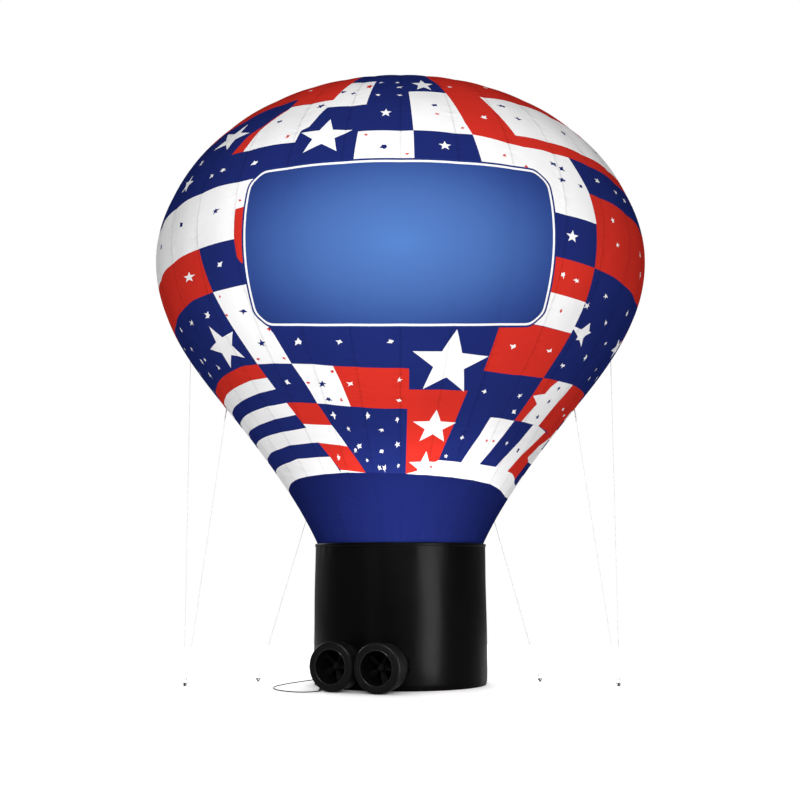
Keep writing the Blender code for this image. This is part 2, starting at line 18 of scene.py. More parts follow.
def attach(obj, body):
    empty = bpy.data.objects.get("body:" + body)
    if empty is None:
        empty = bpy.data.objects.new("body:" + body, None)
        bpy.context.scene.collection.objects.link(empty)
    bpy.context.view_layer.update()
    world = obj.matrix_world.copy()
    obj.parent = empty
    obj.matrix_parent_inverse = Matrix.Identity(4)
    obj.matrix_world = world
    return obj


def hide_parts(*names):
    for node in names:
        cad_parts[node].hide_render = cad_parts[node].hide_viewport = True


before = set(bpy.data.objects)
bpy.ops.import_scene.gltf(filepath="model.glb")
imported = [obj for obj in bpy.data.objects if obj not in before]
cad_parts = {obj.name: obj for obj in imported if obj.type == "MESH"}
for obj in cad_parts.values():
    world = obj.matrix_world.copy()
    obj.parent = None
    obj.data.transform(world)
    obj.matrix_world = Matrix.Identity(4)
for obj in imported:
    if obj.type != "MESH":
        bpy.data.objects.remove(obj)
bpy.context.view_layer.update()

# Camera
CAMERA_PLACE = (0.0, -12.933, 1.110)
CAMERA_PITCH = 7.761
CAMERA_LENS = 56.79
CAMERA_SENSOR = 36.0
CAMERA_SHIFT = -0.5 / 800

# Light: soft light from all round, how bright the middle of the front gets, and the floor's glow
WORLD_LIGHT = 0.25
FRONT_LIGHT = 1.36
FLOOR_GLOW = 0.57
FLOOR_RADIUS = 7.0
# Area lights: name, place, target, width, height, power, spread in degrees, rays that don't see it
LIGHTS = [
    ("key", (-0.3, -16.0, 3.6), (0, 0, 3.0), 6.0, 4.0, 2330, 180, "glossy"),
    ("rear_key", (1.5, 15.0, 5.4), (0, 0, 3.0), 6.0, 4.0, 1080, 180, None),
    ("rear_left", (-9.2, 9.2, 5.0), (0, 0, 3.0), 5.0, 4.0, 456, 180, None),
    ("rear_right", (9.2, 9.2, 5.0), (0, 0, 3.0), 5.0, 4.0, 456, 180, "glossy"),
    ("rear_top", (0.0, 7.5, 10.0), (0, 0, 6.0), 5.0, 4.0, 330, 180, None),
    # The drum's one soft bright band, and its foot
    ("band", (0.766, -1.40, 0.76), (0.29, -0.82, 0.76), 0.50, 1.5, 15, 120, "diffuse"),
    ("band_foot", (0.766, -1.40, 0.06), (0.29, -0.82, 0.06), 0.50, 0.12, 2.8, 120, "diffuse"),
    # Faint gloss on the drum's left and on the blowers, and light on the neck
    ("left_strip", (-2.7, -4.0, 1.2), (-0.4, -0.9, 0.4), 0.35, 2.2, 3.5, 120, "diffuse"),
    ("top_gloss", (-0.4, -4.4, 4.6), (-0.4, -0.9, 0.4), 2.0, 1.0, 130, 120, "diffuse"),
    ("low_front", (0.25, -5.0, 0.5), (0.1, -0.9, 1.55), 0.8, 0.5, 7.5, 32, "glossy"),
]

# Envelope: the same outline as in the solids
CROWN_HEIGHT = 6.115
CROWN_SHOULDER = 1.818
EQUATOR_RADIUS = 2.520
EQUATOR_HEIGHT = 4.250
EQUATOR_PULL_UP = 0.677
EQUATOR_PULL_DOWN = 0.552
CONE_RADIUS = 1.790
CONE_HEIGHT = 2.768
CONE_ANGLE = math.radians(39.46)
CONE_PULL_UP = 0.693
CONE_PULL_DOWN = 0.515
NECK_RADIUS = 0.844
NECK_HEIGHT = 1.392
NECK_ANGLE = math.radians(25.06)
NECK_PULL = 0.554
OUTLINE_STEPS = 60
SKIRT_END = 6.86

# Gores: how far the seams lie inside the outline, and the cloth's ripples
GORE_TURN = 12.0
GORE_SAG = 0.011
RIPPLE = 0.0022
GATHER = 0.004

# The sheet that the print is cut from: metres for a degree, spacing of its points, and the share of the
# spacing that points inside a sheet keep from its outlines
TURN_SCALE = 0.040
SHEET_STEP = 0.045
KEPT_APART = 0.42
POLE_ARC = 0.10
PRINT_LEFT, PRINT_RIGHT = -96.0, 84.0

# Drum: radius and height along its outside, and its cloth unrolled at one radius
DRUM_TOP = 1.3597
DRUM_OUTSIDE = [(0.860, 0.0), (0.872, 0.05), (0.875, 0.16), (0.872, 0.50), (0.867, 0.95), (0.862, DRUM_TOP)]
DRUM_SHEET_RADIUS = 0.870
DRUM_STEP = 0.030
DRUM_SEAM_TURN = 72.0
DRUM_DENTS = 0.0022
DRUM_SLACK = 0.0016
DRUM_GATHER = 0.0009
HEM_RADIUS = 0.867
HEM_INNER_RADIUS = 0.8447
HEM_HEIGHT = 0.032

# Blowers: name, x and y of the inlet's centre, angle of the axis from +Y towards +X in degrees
BLOWERS = [
    ("left", -0.658, -0.966, 27.7),
    ("right", -0.226, -1.172, 23.9),
]
RING_RADIUS = 0.235
DUCT_RADIUS = 0.157
RING_DEPTH = 0.070
HOUSING_RADIUS = 0.222
MOULD_JOINT = 0.144
HOUSING_END = 0.250
SPIGOT_RADIUS = 0.164
SPIGOT_END = 0.290
FAN_BLADES = 5
FAN_HUB = 0.042
FAN_FRONT = 0.098
FAN_BACK = 0.148
BLADE_PITCH = math.radians(34)
BLADE_WIDTH = 0.070
BLADE_HALF_THICKNESS = 0.0021
BLADE_CAMBER = 0.0035
MOTOR_RADIUS = 0.056
MOTOR_FRONT = 0.156
MOTOR_BACK = 0.246
FIN_START = 0.178
FIN_END = 0.224
SHAFT_RADIUS = 0.0082
SHAFT_END = 0.1103
BORE_RADIUS = 0.0088
BORE_END = 0.1105
SLEEVE_START = 0.254
SLEEVE_END = 0.480
COLLAR_INNER = 0.1686
COLLAR_OUTER = 0.206
COLLAR_MIDDLE = 0.19
STRAP_START = 0.257
STRAP_END = 0.277
BOX_ANGLE = math.radians(213.75)
BOX_START = 0.120
BOX_END = 0.205
BOX_WIDTH = 0.064
BOX_DEPTH = 0.036
GLAND_LENGTH = 0.014

# Supply lead of the left blower
GAP = 0.0003
LEAD_DIAMETER = 0.009
LEAD_ON_FLOOR = LEAD_DIAMETER / 2 + GAP
RELIEF_LENGTH = 0.040
# Its way from the switch box down to the floor on the left, then round and in to the coil
LEAD_IN_AIR = [
    (-0.905, -0.652, 0.082), (-0.966, -0.612, 0.070), (-1.030, -0.562, 0.057),
    (-1.075, -0.524, 0.047), (-1.117, -0.490, 0.037), (-1.1559, -0.4601, 0.027),
    (-1.1944, -0.4550, 0.018), (-1.2206, -0.4836, 0.011), (-1.2210, -0.5290, 0.007),
]
LEAD_LOOP = [
    (-1.2140, -0.5770), (-1.196, -0.650), (-1.168, -0.722), (-1.130, -0.790), (-1.082, -0.852),
    (-1.030, -0.903), (-0.970, -0.937), (-0.908, -0.950), (-0.850, -0.938), (-0.803, -0.903),
    (-0.771, -0.853), (-0.757, -0.797), (-0.7592, -0.742), (-0.7733, -0.7078),
]
# Coil: angles where the lead reaches and leaves it, whole turns, radii of the outer and inner turns
COIL_CENTRE = (-0.715, -0.682)
COIL_START = math.radians(203.9)
COIL_END = math.radians(155)
COIL_TURNS = 4.0
COIL_OUTER = 0.0545
COIL_INNER = 0.0455
# How much wider it starts, and the rises to its upper turns and over them at the end
COIL_ENTRY = 0.0093
COIL_LAYER = LEAD_DIAMETER * 1.02
COIL_TOP_LAYER = LEAD_DIAMETER * 1.05
# Middle of the plug's rear face, on the coil's right side
PLUG_REAR = (-0.665, -0.658, 0.0313)

# Ground anchors: places of their shanks, then the bar across each head
ANCHORS = {
    "front_left": (-2.12, -0.26),
    "front_right": (2.145, -0.26),
    "rear_left": (-1.46, 0.285),
    "rear_right": (1.43, 0.275),
}
BAR_RADIUS = 0.0075
BAR_LENGTH = 0.048
BAR_HEIGHT = 0.0225
BAR_OFFSET = 0.010
# Guys: name, azimuth and arc of the tie-down, anchor, place on the anchor's bar
GUYS = [
    ("left_1", -105, 4.14, "front_left", -1),
    ("left_2", -93, 5.11, "front_left", 1),
    ("left_3", -147, 5.55, "rear_left", 0),
    ("right_1", 105, 4.14, "front_right", 1),
    ("right_2", 93, 5.11, "front_right", -1),
    ("right_3", 147, 5.55, "rear_right", 0),
]
# Tie-downs: sewn patch, webbing, the bar of the ring, the rope and its knots
PATCH_RADIUS = 0.052
WEBBING_REACH = 0.080
WEBBING_HALF_WIDTH = 0.0125
WEBBING_THICKNESS = 0.0015
RING_BAR_RADIUS = 0.0019
ROPE_RADIUS = 0.0030
KNOT_RADIUS = 0.0056
KNOT_LENGTH = 0.0232

# Colours as on a screen; the white cloth's is given as light
RED = (231, 55, 44)
NAVY = (35, 48, 120)
SKIRT_NAVY = (27, 37, 99)
WHITE_CLOTH = (0.88, 0.875, 0.88)
VINYL_BLACK = (4, 4, 4)

# Sewing: how fast the threads' and stitches' sine waves turn, in radians for each metre or, in the hem's
# rows, for each radian round it; then sizes in metres
THREAD_PITCH = 4800.0
STITCH_PITCH = 1250.0
HEM_STITCH_PITCH = 1080.0
STITCH_WIDTH = 0.0016
STITCH_DEPTH = 0.0004
CLOTH_THICKNESS = 0.0006

# Print: patches in the order in which they cover each other, as (azimuth, arc)
PATCHES = [
    ("crown_white_left", "white", [(-96, 0.62), (-60, 0.62), (-60, 1.42), (-96, 1.42)]),
    ("crown_red_left", "red", [(-60, 0.62), (-36, 0.62), (-36, 1.42), (-60, 1.42)]),
    ("crown_white", "white", [(-12, 0.62), (12, 0.62), (12, 1.20), (-12, 1.20)]),
    ("crown_red_right", "red", [(12, 0.62), (36, 0.62), (36, 1.42), (12, 1.42)]),
    ("crown_white_right", "white", [(60, 0.62), (84, 0.62), (84, 1.42), (60, 1.42)]),
    ("top_left_red", "red", [
        (-15.7, 1.40), (-15.7, 1.75), (-17.7, 2.20), (-30.2, 2.20), (-30.2, 2.03), (-38.3, 2.07),
        (-48.3, 2.18), (-54, 2.27), (-62, 2.34), (-78, 2.44), (-96, 2.48), (-96, 1.42),
    ]),
    ("top_left_white", "white", [
        (-15.7, 1.75), (-7.7, 1.77), (-8.4, 2.336), (-18.3, 2.336), (-17.7, 2.20),
    ]),
    ("left_hook_edge", "red", [
        (-29.5, 2.20), (-30.8, 2.24), (-35.5, 2.425), (-38.9, 2.54), (-41.5, 2.776), (-36, 2.776),
        (-33, 2.40), (-28.5, 2.30),
    ]),
    ("left_hook", "white", [
        (-30.2, 2.205), (-17.7, 2.20), (-18.3, 2.336), (-18.8, 2.366), (-21.1, 2.61), (-23.0, 2.648),
        (-23.6, 2.788), (-37.8, 2.776), (-36.1, 2.495), (-30.5, 2.25),
    ]),
    ("top_middle_low", "white", [(-9.2, 2.74), (2.8, 2.74), (2.8, 3.12), (-9.6, 3.12)]),
    ("top_middle", "white", [(2.2, 2.09), (12.5, 2.075), (15.8, 2.753), (2.8, 2.737)]),
    ("top_right_red", "red", [
        (10, 1.40), (10, 1.60), (11.6, 1.84), (12.5, 2.075), (14.7, 2.59), (15.8, 2.753), (27.8, 2.823),
        (33.4, 2.81), (41, 2.82), (49, 2.835), (59.7, 2.88), (70, 2.93), (84, 2.98), (84, 1.42),
    ]),
    ("top_right_white", "white", [
        (22.5, 2.07), (30, 2.05), (36, 2.045), (48, 2.11), (56, 2.20), (68, 2.28), (84, 2.34),
        (84, 2.81), (66, 2.76), (60, 2.725), (48, 2.69), (36, 2.67), (26.7, 2.683),
    ]),
    ("right_hook", "white", [
        (15.8, 2.753), (27.8, 2.823), (33.4, 2.81), (40.6, 2.82), (42.2, 3.01), (44, 3.20),
        (45.3, 3.467), (29, 3.447), (29, 3.14), (17, 3.14),
    ]),
    ("right_red", "red", [
        (43.75, 3.18), (50, 3.187), (55, 3.203), (66, 3.245), (75, 3.27), (84, 3.30), (84, 3.985),
        (72.8, 3.97), (65.3, 3.936), (54, 3.89), (46, 3.866), (45.1, 3.467),
    ]),
    ("right_red_block", "red", [(29, 3.838), (34, 3.842), (46, 3.866), (46.3, 4.19), (29, 4.15)]),
    ("right_white_block", "white", [(29, 4.15), (46.3, 4.19), (46, 4.503), (29, 4.47)]),
    ("right_red_low", "red", [
        (24, 4.46), (34.2, 4.485), (46, 4.503), (45.6, 4.71), (44.6, 4.99), (33.4, 4.998), (23.4, 4.986),
    ]),
    ("right_red_small", "red", [(44.6, 4.99), (53, 4.99), (53, 5.475), (42.5, 5.475), (44.1, 5.18)]),
    ("right_cut_star", "white", [
        (52, 4.99), (61.6, 4.99), (60.9, 5.13), (59, 5.34), (57.8, 5.494), (46.4, 5.478), (48.9, 5.27),
        (44.7, 5.19), (49.6, 5.15), (50.4, 5.06),
    ]),
    ("right_red_row", "red", [
        (61.6, 4.99), (84, 5.012), (84, 5.568), (79, 5.565), (72.8, 5.548), (66, 5.518), (57.8, 5.494),
        (59, 5.34), (60.9, 5.13),
    ]),
    ("slant_white_1", "white", [
        (31.6, 5.464), (42.5, 5.478), (40.9, 5.647), (38.4, 5.834), (35.9, 5.98), (26.25, 5.97), (30, 5.67),
    ]),
    ("slant_white_2", "white", [
        (53.75, 5.49), (57.8, 5.494), (66.6, 5.534), (62.2, 5.74), (58.4, 5.905), (56, 6.026),
        (46, 5.994), (49, 5.858), (51.9, 5.69),
    ]),
    ("slant_red", "red", [
        (66.6, 5.534), (79, 5.565), (84, 5.568), (84, 5.895), (73, 5.885), (70, 6.10), (62, 6.045),
        (56, 6.026), (58.4, 5.905), (62.2, 5.74),
    ]),
    ("slant_wedge", "white", [
        (84, 5.568), (79, 5.565), (72.2, 5.69), (67.2, 5.84), (73, 5.885), (84, 5.895),
    ]),
    ("red_column", "red", [
        (2.5, 5.206), (20.2, 5.20), (19.4, 5.39), (18.6, 5.576), (17.5, 5.74), (15.9, 5.95),
        (14.0, 6.12), (2.3, 6.12), (2.2, 5.41),
    ]),
    ("middle_red", "red", [
        (-18.3, 4.944), (-10.8, 4.972), (2.3, 4.99), (2.5, 5.206), (2.2, 5.41), (-4.6, 5.405),
        (-10.8, 5.394), (-15.9, 5.373), (-17.1, 5.13),
    ]),
    ("middle_white", "white", [
        (-30.2, 4.887), (-18.3, 4.944), (-17.1, 5.13), (-15.9, 5.373), (-21.4, 5.35), (-27, 5.323),
        (-27.7, 5.20), (-28.9, 5.037),
    ]),
    ("left_white", "white", [
        (-28, 3.14), (-42, 3.128), (-54, 3.14), (-62, 3.163), (-70.8, 3.21), (-96, 3.32), (-96, 3.86),
        (-71.4, 3.755), (-65.8, 3.725), (-60, 3.704), (-54.6, 3.6875), (-48, 3.676), (-28, 3.666),
    ]),
    ("banner_sliver", "red", [
        (-36.0, 3.40), (-31, 3.39), (-31, 3.90), (-35.2, 3.895), (-36.2, 3.84), (-36.4, 3.65),
    ]),
    ("left_red", "red", [
        (-47.7, 3.676), (-54.6, 3.6875), (-60, 3.704), (-65.8, 3.725), (-71.4, 3.755), (-96, 3.86),
        (-96, 4.35), (-71.4, 4.217), (-65.8, 4.177), (-60, 4.14), (-54.6, 4.11), (-45.9, 4.095),
        (-47.1, 3.82),
    ]),
    ("left_column", "white", [
        (-45.9, 4.095), (-36, 4.088), (-28, 4.08), (-28, 4.46), (-33, 4.51), (-32.1, 4.57),
        (-31.1, 4.73), (-30.2, 4.887), (-35.8, 4.869), (-41.7, 4.85), (-42.7, 4.66), (-44.3, 4.38),
    ]),
    ("left_red_stripe", "red", [
        (-41.7, 4.85), (-48.3, 4.845), (-54.6, 4.869), (-60, 4.89), (-65.8, 4.92), (-73.3, 4.96),
        (-96, 5.08), (-96, 5.20), (-72.7, 5.096), (-65.8, 5.066), (-60, 5.045), (-54.6, 5.026),
        (-48.3, 5.005), (-40.8, 5.0),
    ]),
    ("slope_red_1", "red", [
        (-38.4, 5.288), (-32.7, 5.30), (-27, 5.323), (-25.8, 5.436), (-24.6, 5.565), (-36, 5.53),
        (-37.1, 5.426),
    ]),
    ("slope_white", "white", [(-36, 5.53), (-24.6, 5.565), (-20.8, 5.80), (-32.7, 5.74), (-35.3, 5.576)]),
]
# White stripes at the lower left: upper and lower edge, each its right end and arcs at these azimuths
STRIPE_TURNS = (-48.3, -54.6, -65.8, -72.7, -96.0)
STRIPES = [
    (
        ((-40.8, 5.000), 5.005, 5.026, 5.066, 5.096, 5.200),
        ((-39.8, 5.130), 5.150, 5.170, 5.208, 5.230, 5.325),
    ),
    (
        ((-38.4, 5.288), 5.300, 5.314, 5.344, 5.366, 5.450),
        ((-37.1, 5.426), 5.447, 5.464, 5.490, 5.500, 5.575),
    ),
    (
        ((-35.3, 5.576), 5.593, 5.600, 5.620, 5.635, 5.705),
        ((-32.7, 5.740), 5.745, 5.764, 5.787, 5.815, 5.880),
    ),
    (
        ((-29.9, 5.900), 5.900, 5.923, 5.947, 5.963, 6.030),
        ((-27.1, 6.100), 6.200, 6.200, 6.300, 6.350, 6.400),
    ),
]
LOWER_PATCHES = [
    ("slope_red_2", "red", [
        (-32.7, 5.74), (-20.8, 5.80), (-15.5, 6.087), (-15.5, 6.12), (-20, 6.075), (-27.1, 6.05),
        (-29.9, 5.90),
    ]),
    ("slope_white_foot", "white", [
        (-27.1, 6.05), (-20, 6.073), (-15.5, 6.087), (-15.5, 6.16), (-28, 6.16),
    ]),
    ("right_broken_star", "white", [
        (45.50, 4.4280), (46.02, 4.4318), (49.27, 4.4438), (51.29, 4.3612), (52.52, 4.4381),
        (53.64, 4.4451), (51.99, 4.4895), (51.66, 4.5205), (52.76, 4.6041), (50.60, 4.5464),
        (49.20, 4.5547), (49.29, 4.5182), (46.48, 4.4617), (45.98, 4.4647),
    ]),
    ("foot_band", "white", [
        (2.5, 6.104), (9, 6.06), (15.9, 5.952), (21, 5.96), (26, 5.97), (36, 5.98), (46, 5.994),
        (56, 6.026), (62, 6.045), (69.7, 6.10), (74, 6.144), (84, 6.165), (84, 6.40), (2.5, 6.40),
    ]),
]
# Stars: colour, azimuth, arc, half width in degrees, half height in metres, turn in degrees
STARS = [
    ("white", -16.75, 2.765, 6.4, 0.227, 4),
    ("white", -46.4, 2.480, 6.9, 0.190, 24),
    ("white", -58.0, 2.917, 3.4, 0.100, 20),
    ("white", 6.6, 1.900, 3.4, 0.170, 0),
    ("white", -3.4, 2.490, 1.4, 0.065, 0),
    ("white", 9.3, 2.910, 1.4, 0.052, 0),
    ("white", -50.8, 4.615, 7.3, 0.235, -14),
    ("white", -53.2, 3.896, 2.6, 0.050, 12),
    ("white", 13.1, 4.930, 10.7, 0.340, 2),
    ("white", 37.8, 3.638, 1.7, 0.058, 0),
    ("white", 77.5, 4.450, 5.0, 0.120, 24),
    ("white", 11.75, 5.600, 7.95, 0.185, 0),
    ("white", 10.2, 6.030, 7.0, 0.170, 0),
    ("red", -9.1, 1.930, 1.3, 0.075, 10),
    ("white", -24.0, 1.000, 8.0, 0.210, 0),
    ("white", 48.0, 1.000, 8.0, 0.210, 0),
    ("navy", 0.0, 0.930, 6.0, 0.160, 0),
    ("navy", -78.0, 1.050, 6.0, 0.160, 0),
    ("navy", 72.0, 1.050, 6.0, 0.160, 0),
]
# Uneven specks scattered over the patches, by colour, as (azimuth, arc)
SPECKS = {
    "white": [
        (14.8, 1.90), (20, 2.48), (-42.2, 2.948), (-46.1, 2.965), (-32.7, 2.96), (-55.5, 2.70), (49, 2.99),
        (56.9, 3.02), (62, 3.05), (51.6, 3.37), (53.6, 3.59), (68.1, 3.54), (71.6, 3.706), (-41.4, 3.866),
        (-69.9, 4.306), (-60.4, 4.297), (-51.1, 4.287), (-70.8, 4.51), (-68.6, 4.67), (-65.2, 4.67),
        (-60.2, 4.798), (-70, 4.82), (-34.4, 5.075), (-26, 4.68), (-15.1, 4.705), (-2.4, 4.72),
        (-14.5, 5.136), (-0.3, 5.108), (-0.5, 5.323), (-22.6, 5.46), (-10.8, 5.483), (-1.1, 5.52),
        (-18.6, 5.61), (-6.6, 5.633), (-1.1, 5.79), (-16.1, 5.797), (-17.8, 5.84), (-7.4, 5.86),
        (-13.9, 5.956), (-9.1, 6.033), (-6.9, 6.045), (-0.9, 6.02), (-26.1, 5.916), (25.8, 5.20),
        (39.1, 5.21), (40.1, 5.38), (23.3, 5.705), (18.6, 5.905), (45, 5.73), (67.8, 5.255), (29.4, 4.71),
        (41.4, 4.71), (36.9, 3.99), (41.1, 4.016), (53, 4.08), (58.6, 4.31), (64.7, 4.49), (58.4, 4.69),
        (49.8, 4.83), (71.6, 4.75), (71.3, 4.86), (68.8, 4.13), (47.6, 4.217), (-6.0, 1.83), (-0.9, 1.82),
        (-0.2, 1.96), (-5.9, 2.16), (-0.2, 2.16), (-78, 4.45), (-84, 4.70), (-90, 4.60), (-82, 4.95),
        (79, 3.60), (80.5, 3.10), (-80, 2.75), (-88, 2.95), (-72, 2.90), (-66, 2.60), (-50, 1.70),
        (-30, 1.80), (30, 1.70), (55, 1.80), (76, 1.90), (-76, 2.05), (74, 5.30), (80, 4.80), (-84, 4.05),
    ],
    "navy": [
        (27.5, 2.21), (30, 2.41), (45.6, 2.42), (8.3, 2.36), (34.8, 2.95), (36.4, 3.11), (41.5, 3.13),
        (-54.6, 3.386), (-41.6, 3.374), (-38.5, 4.327), (-37.1, 4.655), (-23.1, 5.126), (-22.6, 5.288),
        (54.5, 5.06), (54.1, 5.218), (53.4, 5.40), (54.5, 5.79), (-16.2, 2.03), (-13.0, 2.08),
        (-20.4, 2.29), (-30.5, 2.45), (-3.4, 2.935), (-68, 3.46), (-82, 3.55), (62, 2.45), (78, 2.55),
        (36.9, 2.98), (-88, 3.62),
    ],
    "red": [
        (22.3, 2.96), (27, 3.05), (13.9, 2.67), (-44.1, 4.147), (-44.1, 4.327), (-33, 4.527), (-31.8, 4.824),
        (-40.6, 4.80), (-34.9, 3.323), (-27.4, 5.10), (-18.9, 5.0), (-18.4, 5.30), (34.2, 5.72),
        (37.5, 5.72), (39.3, 4.316), (-26.0, 2.70), (-7.4, 2.79), (1.3, 3.01), (8.5, 2.50), (13.1, 6.03),
    ],
}
# Their half width in degrees and half height in metres, and the size of each colour's
SPECK_TURN = 0.95
SPECK_ARC = 0.030
SPECK_SIZES = {"white": 1.15, "navy": 1.25, "red": 0.72}
# The print's lower edge, where the plain navy skirt begins
PRINT_FOOT = [
    (-96, 6.315), (-84, 6.235), (-72, 6.18), (-65.8, 6.15), (-60, 6.127), (-54.6, 6.11), (-42, 6.092),
    (-27, 6.08), (-15.5, 6.087), (2.5, 6.104), (17.8, 6.122), (33.4, 6.15), (48.4, 6.186), (60, 6.24),
    (66, 6.275), (72, 6.30), (84, 6.315),
]

# Banner: size of the cloth, upper edge along the outline, cut corners and their rounding, its edge band and
# white line, how far it stands off the envelope, and the band's colour
BANNER_HALF_WIDTH = 1.450
BANNER_HEIGHT = 1.526
BANNER_TOP = 3.062
BANNER_CORNER = 0.130
BANNER_CORNER_ROUND = 0.055
BANNER_BORDER = 0.020
BANNER_LINE = 0.022
BANNER_LIFT = 0.0025
BANNER_EDGE = (36, 56, 128)
# It follows the gores, in degrees: half its turn at the upper edge, the growth for each metre downward
BANNER_HALF_TURN = 32.30
BANNER_TURN_GROWTH = 2.37
# The lower corners' rise in metres, and the azimuth of the banner's middle
BANNER_RISE = 0.097
BANNER_MIDDLE = -0.35
# Its printed blue from the middle outward, where that ends, and the half axes of the ellipse at 1
BANNER_SHADES = [(0.0, (86, 130, 200)), (0.45, (75, 111, 180)), (0.8, (56, 84, 156)), (1.15, (38, 56, 124))]
BANNER_FADE = 1.15
BANNER_FADE_WIDE = 1.75
BANNER_FADE_TALL = 0.98


def linear(colour):
    """Colour on a screen from 0 to 255, as light."""
    return tuple(((c / 255 + 0.055) / 1.055) ** 2.4 if c > 10 else c / 255 / 12.92 for c in colour)


def lit(colour):
    """Colour of a cloth that shows as the given screen colour in the middle of the front."""
    return tuple(min(0.90, c / FRONT_LIGHT) for c in linear(colour))


def outline_points():
    """Radius and height along the envelope's outline, from the crown to just inside the drum's hem."""
    cone = Vector((-math.sin(CONE_ANGLE), -math.cos(CONE_ANGLE)))
    neck = Vector((-math.sin(NECK_ANGLE), -math.cos(NECK_ANGLE)))
    crown_at = Vector((0.0, CROWN_HEIGHT))
    equator_at = Vector((EQUATOR_RADIUS, EQUATOR_HEIGHT))
    cone_at = Vector((CONE_RADIUS, CONE_HEIGHT))
    neck_at = Vector((NECK_RADIUS, NECK_HEIGHT))
    out, up = Vector((1, 0)), Vector((0, 1))
    curves = [
        (crown_at, crown_at + out * CROWN_SHOULDER, equator_at + up * EQUATOR_PULL_UP, equator_at),
        (equator_at, equator_at - up * EQUATOR_PULL_DOWN, cone_at - cone * CONE_PULL_UP, cone_at),
        (cone_at, cone_at + cone * CONE_PULL_DOWN, neck_at - neck * NECK_PULL, neck_at),
    ]
    points = [crown_at]
    for curve in curves:
        points += interpolate_bezier(*curve, OUTLINE_STEPS)[1:]
    return np.array(points + [neck_at + neck * 0.10])


OUTLINE = outline_points()
OUTLINE_ARCS = np.concatenate([[0.0], np.cumsum(np.linalg.norm(np.diff(OUTLINE, axis=0), axis=1))])
OUTLINE_RUNS = np.gradient(OUTLINE, OUTLINE_ARCS, axis=0)
OUTLINE_RUNS /= np.linalg.norm(OUTLINE_RUNS, axis=1)[:, None]


def outline_at(arc):
    """Radius, height and the outward normal's two parts at lengths along the outline."""
    radius, height, along, down = (
        np.interp(arc, OUTLINE_ARCS, column) for column in (*OUTLINE.T, *OUTLINE_RUNS.T)
    )
    return radius, height, -down, along


def swell(azimuth, arc, radius):
    """How far the blown-up cloth stands out from the smooth outline."""
    size = np.clip(radius / EQUATOR_RADIUS, 0.0, 1.0)
    seam = np.abs((azimuth / GORE_TURN) % 1.0 - 0.5) * 2
    turn = np.radians(azimuth)
    # Slow waves round and along the cloth, and gathers that grow towards the hem
    ripple = np.sin(7 * turn + 2.6 * arc) * np.sin(3.1 * arc + 5 * turn + 1.0)
    ripple = ripple + 0.6 * np.sin(11 * turn - 5.3 * arc + 0.7) * np.cos(2.2 * arc)
    gather = np.clip((arc - 6.25) / 0.60, 0.0, 1.0) ** 2
    folds = np.sin(60 * turn + 1.3 * np.sin(7 * turn)) * 0.5 - 0.5
    return -GORE_SAG * size * seam**2 + RIPPLE * size * (ripple - 0.8) + GATHER * gather * folds


def skin(azimuth, arc, lift=0.0, follow=1.0):
    """Points of the blown-up cloth; lift is added outward, follow is the share of its swelling kept."""
    radius, height, out, up = outline_at(arc)
    stand = lift + follow * swell(azimuth, arc, radius)
    return wound(azimuth, radius + out * stand, height + up * stand)


def wound(azimuth, radius, height):
    """Points at azimuths in degrees, with radii and heights."""
    turn = np.radians(azimuth)
    return np.stack([radius * np.sin(turn), -radius * np.cos(turn), height], axis=-1)


def dense_outline(outline, step, still=()):
    """Closed outline with points added at most a step apart, but none on the upright lines named."""
    made = []
    for (x1, y1), (x2, y2) in zip(outline, outline[1:] + outline[:1]):
        fixed = abs(x1 - x2) < 1e-9 and any(abs(x1 - x) < 1e-9 for x in still)
        count = 1 if fixed else max(1, math.ceil(math.hypot(x2 - x1, y2 - y1) / step))
        made += [(x1 + (x2 - x1) * i / count, y1 + (y2 - y1) * i / count) for i in range(count)]
    return made


def cut_sheet(border, layers, inner, step, still=(), creases=()):
    """Triangulate a flat sheet so that edges follow every layer's outline and every crease.

    Returns points, triangles and for each triangle the number of the topmost layer that
    holds it, counted from 1, or 0 where there is none.
    """
    points, faces, edges = [], [], []
    for outline in [border] + layers:
        first = len(points)
        dense = dense_outline(outline, step, still)
        area = sum(x1 * y2 - x2 * y1 for (x1, y1), (x2, y2) in zip(dense, dense[1:] + dense[:1]))
        points += dense if area > 0 else dense[::-1]
        faces.append(list(range(first, len(points))))
    for crease in creases:
        first = len(points)
        points += crease
        edges += [(i, i + 1) for i in range(first, len(points) - 1)]
    tree = kdtree.KDTree(len(points))
    for number, (x, y) in enumerate(points):
        tree.insert((x, y, 0), number)
    tree.balance()
    points += [(x, y) for x, y in inner if tree.find((x, y, 0))[2] > step * KEPT_APART]
    found = delaunay_2d_cdt([Vector(p) for p in points], edges, faces, 1, 1e-7, True)
    kept = [(t, max(owners)) for t, owners in zip(found[2], found[5]) if 0 in owners]
    triangles = np.array([t for t, _ in kept])
    return np.array([tuple(p) for p in found[0]]), triangles, np.array([layer for _, layer in kept])


def add_object(name, data):
    made = bpy.data.objects.new(name, data)
    bpy.context.scene.collection.objects.link(made)
    return made


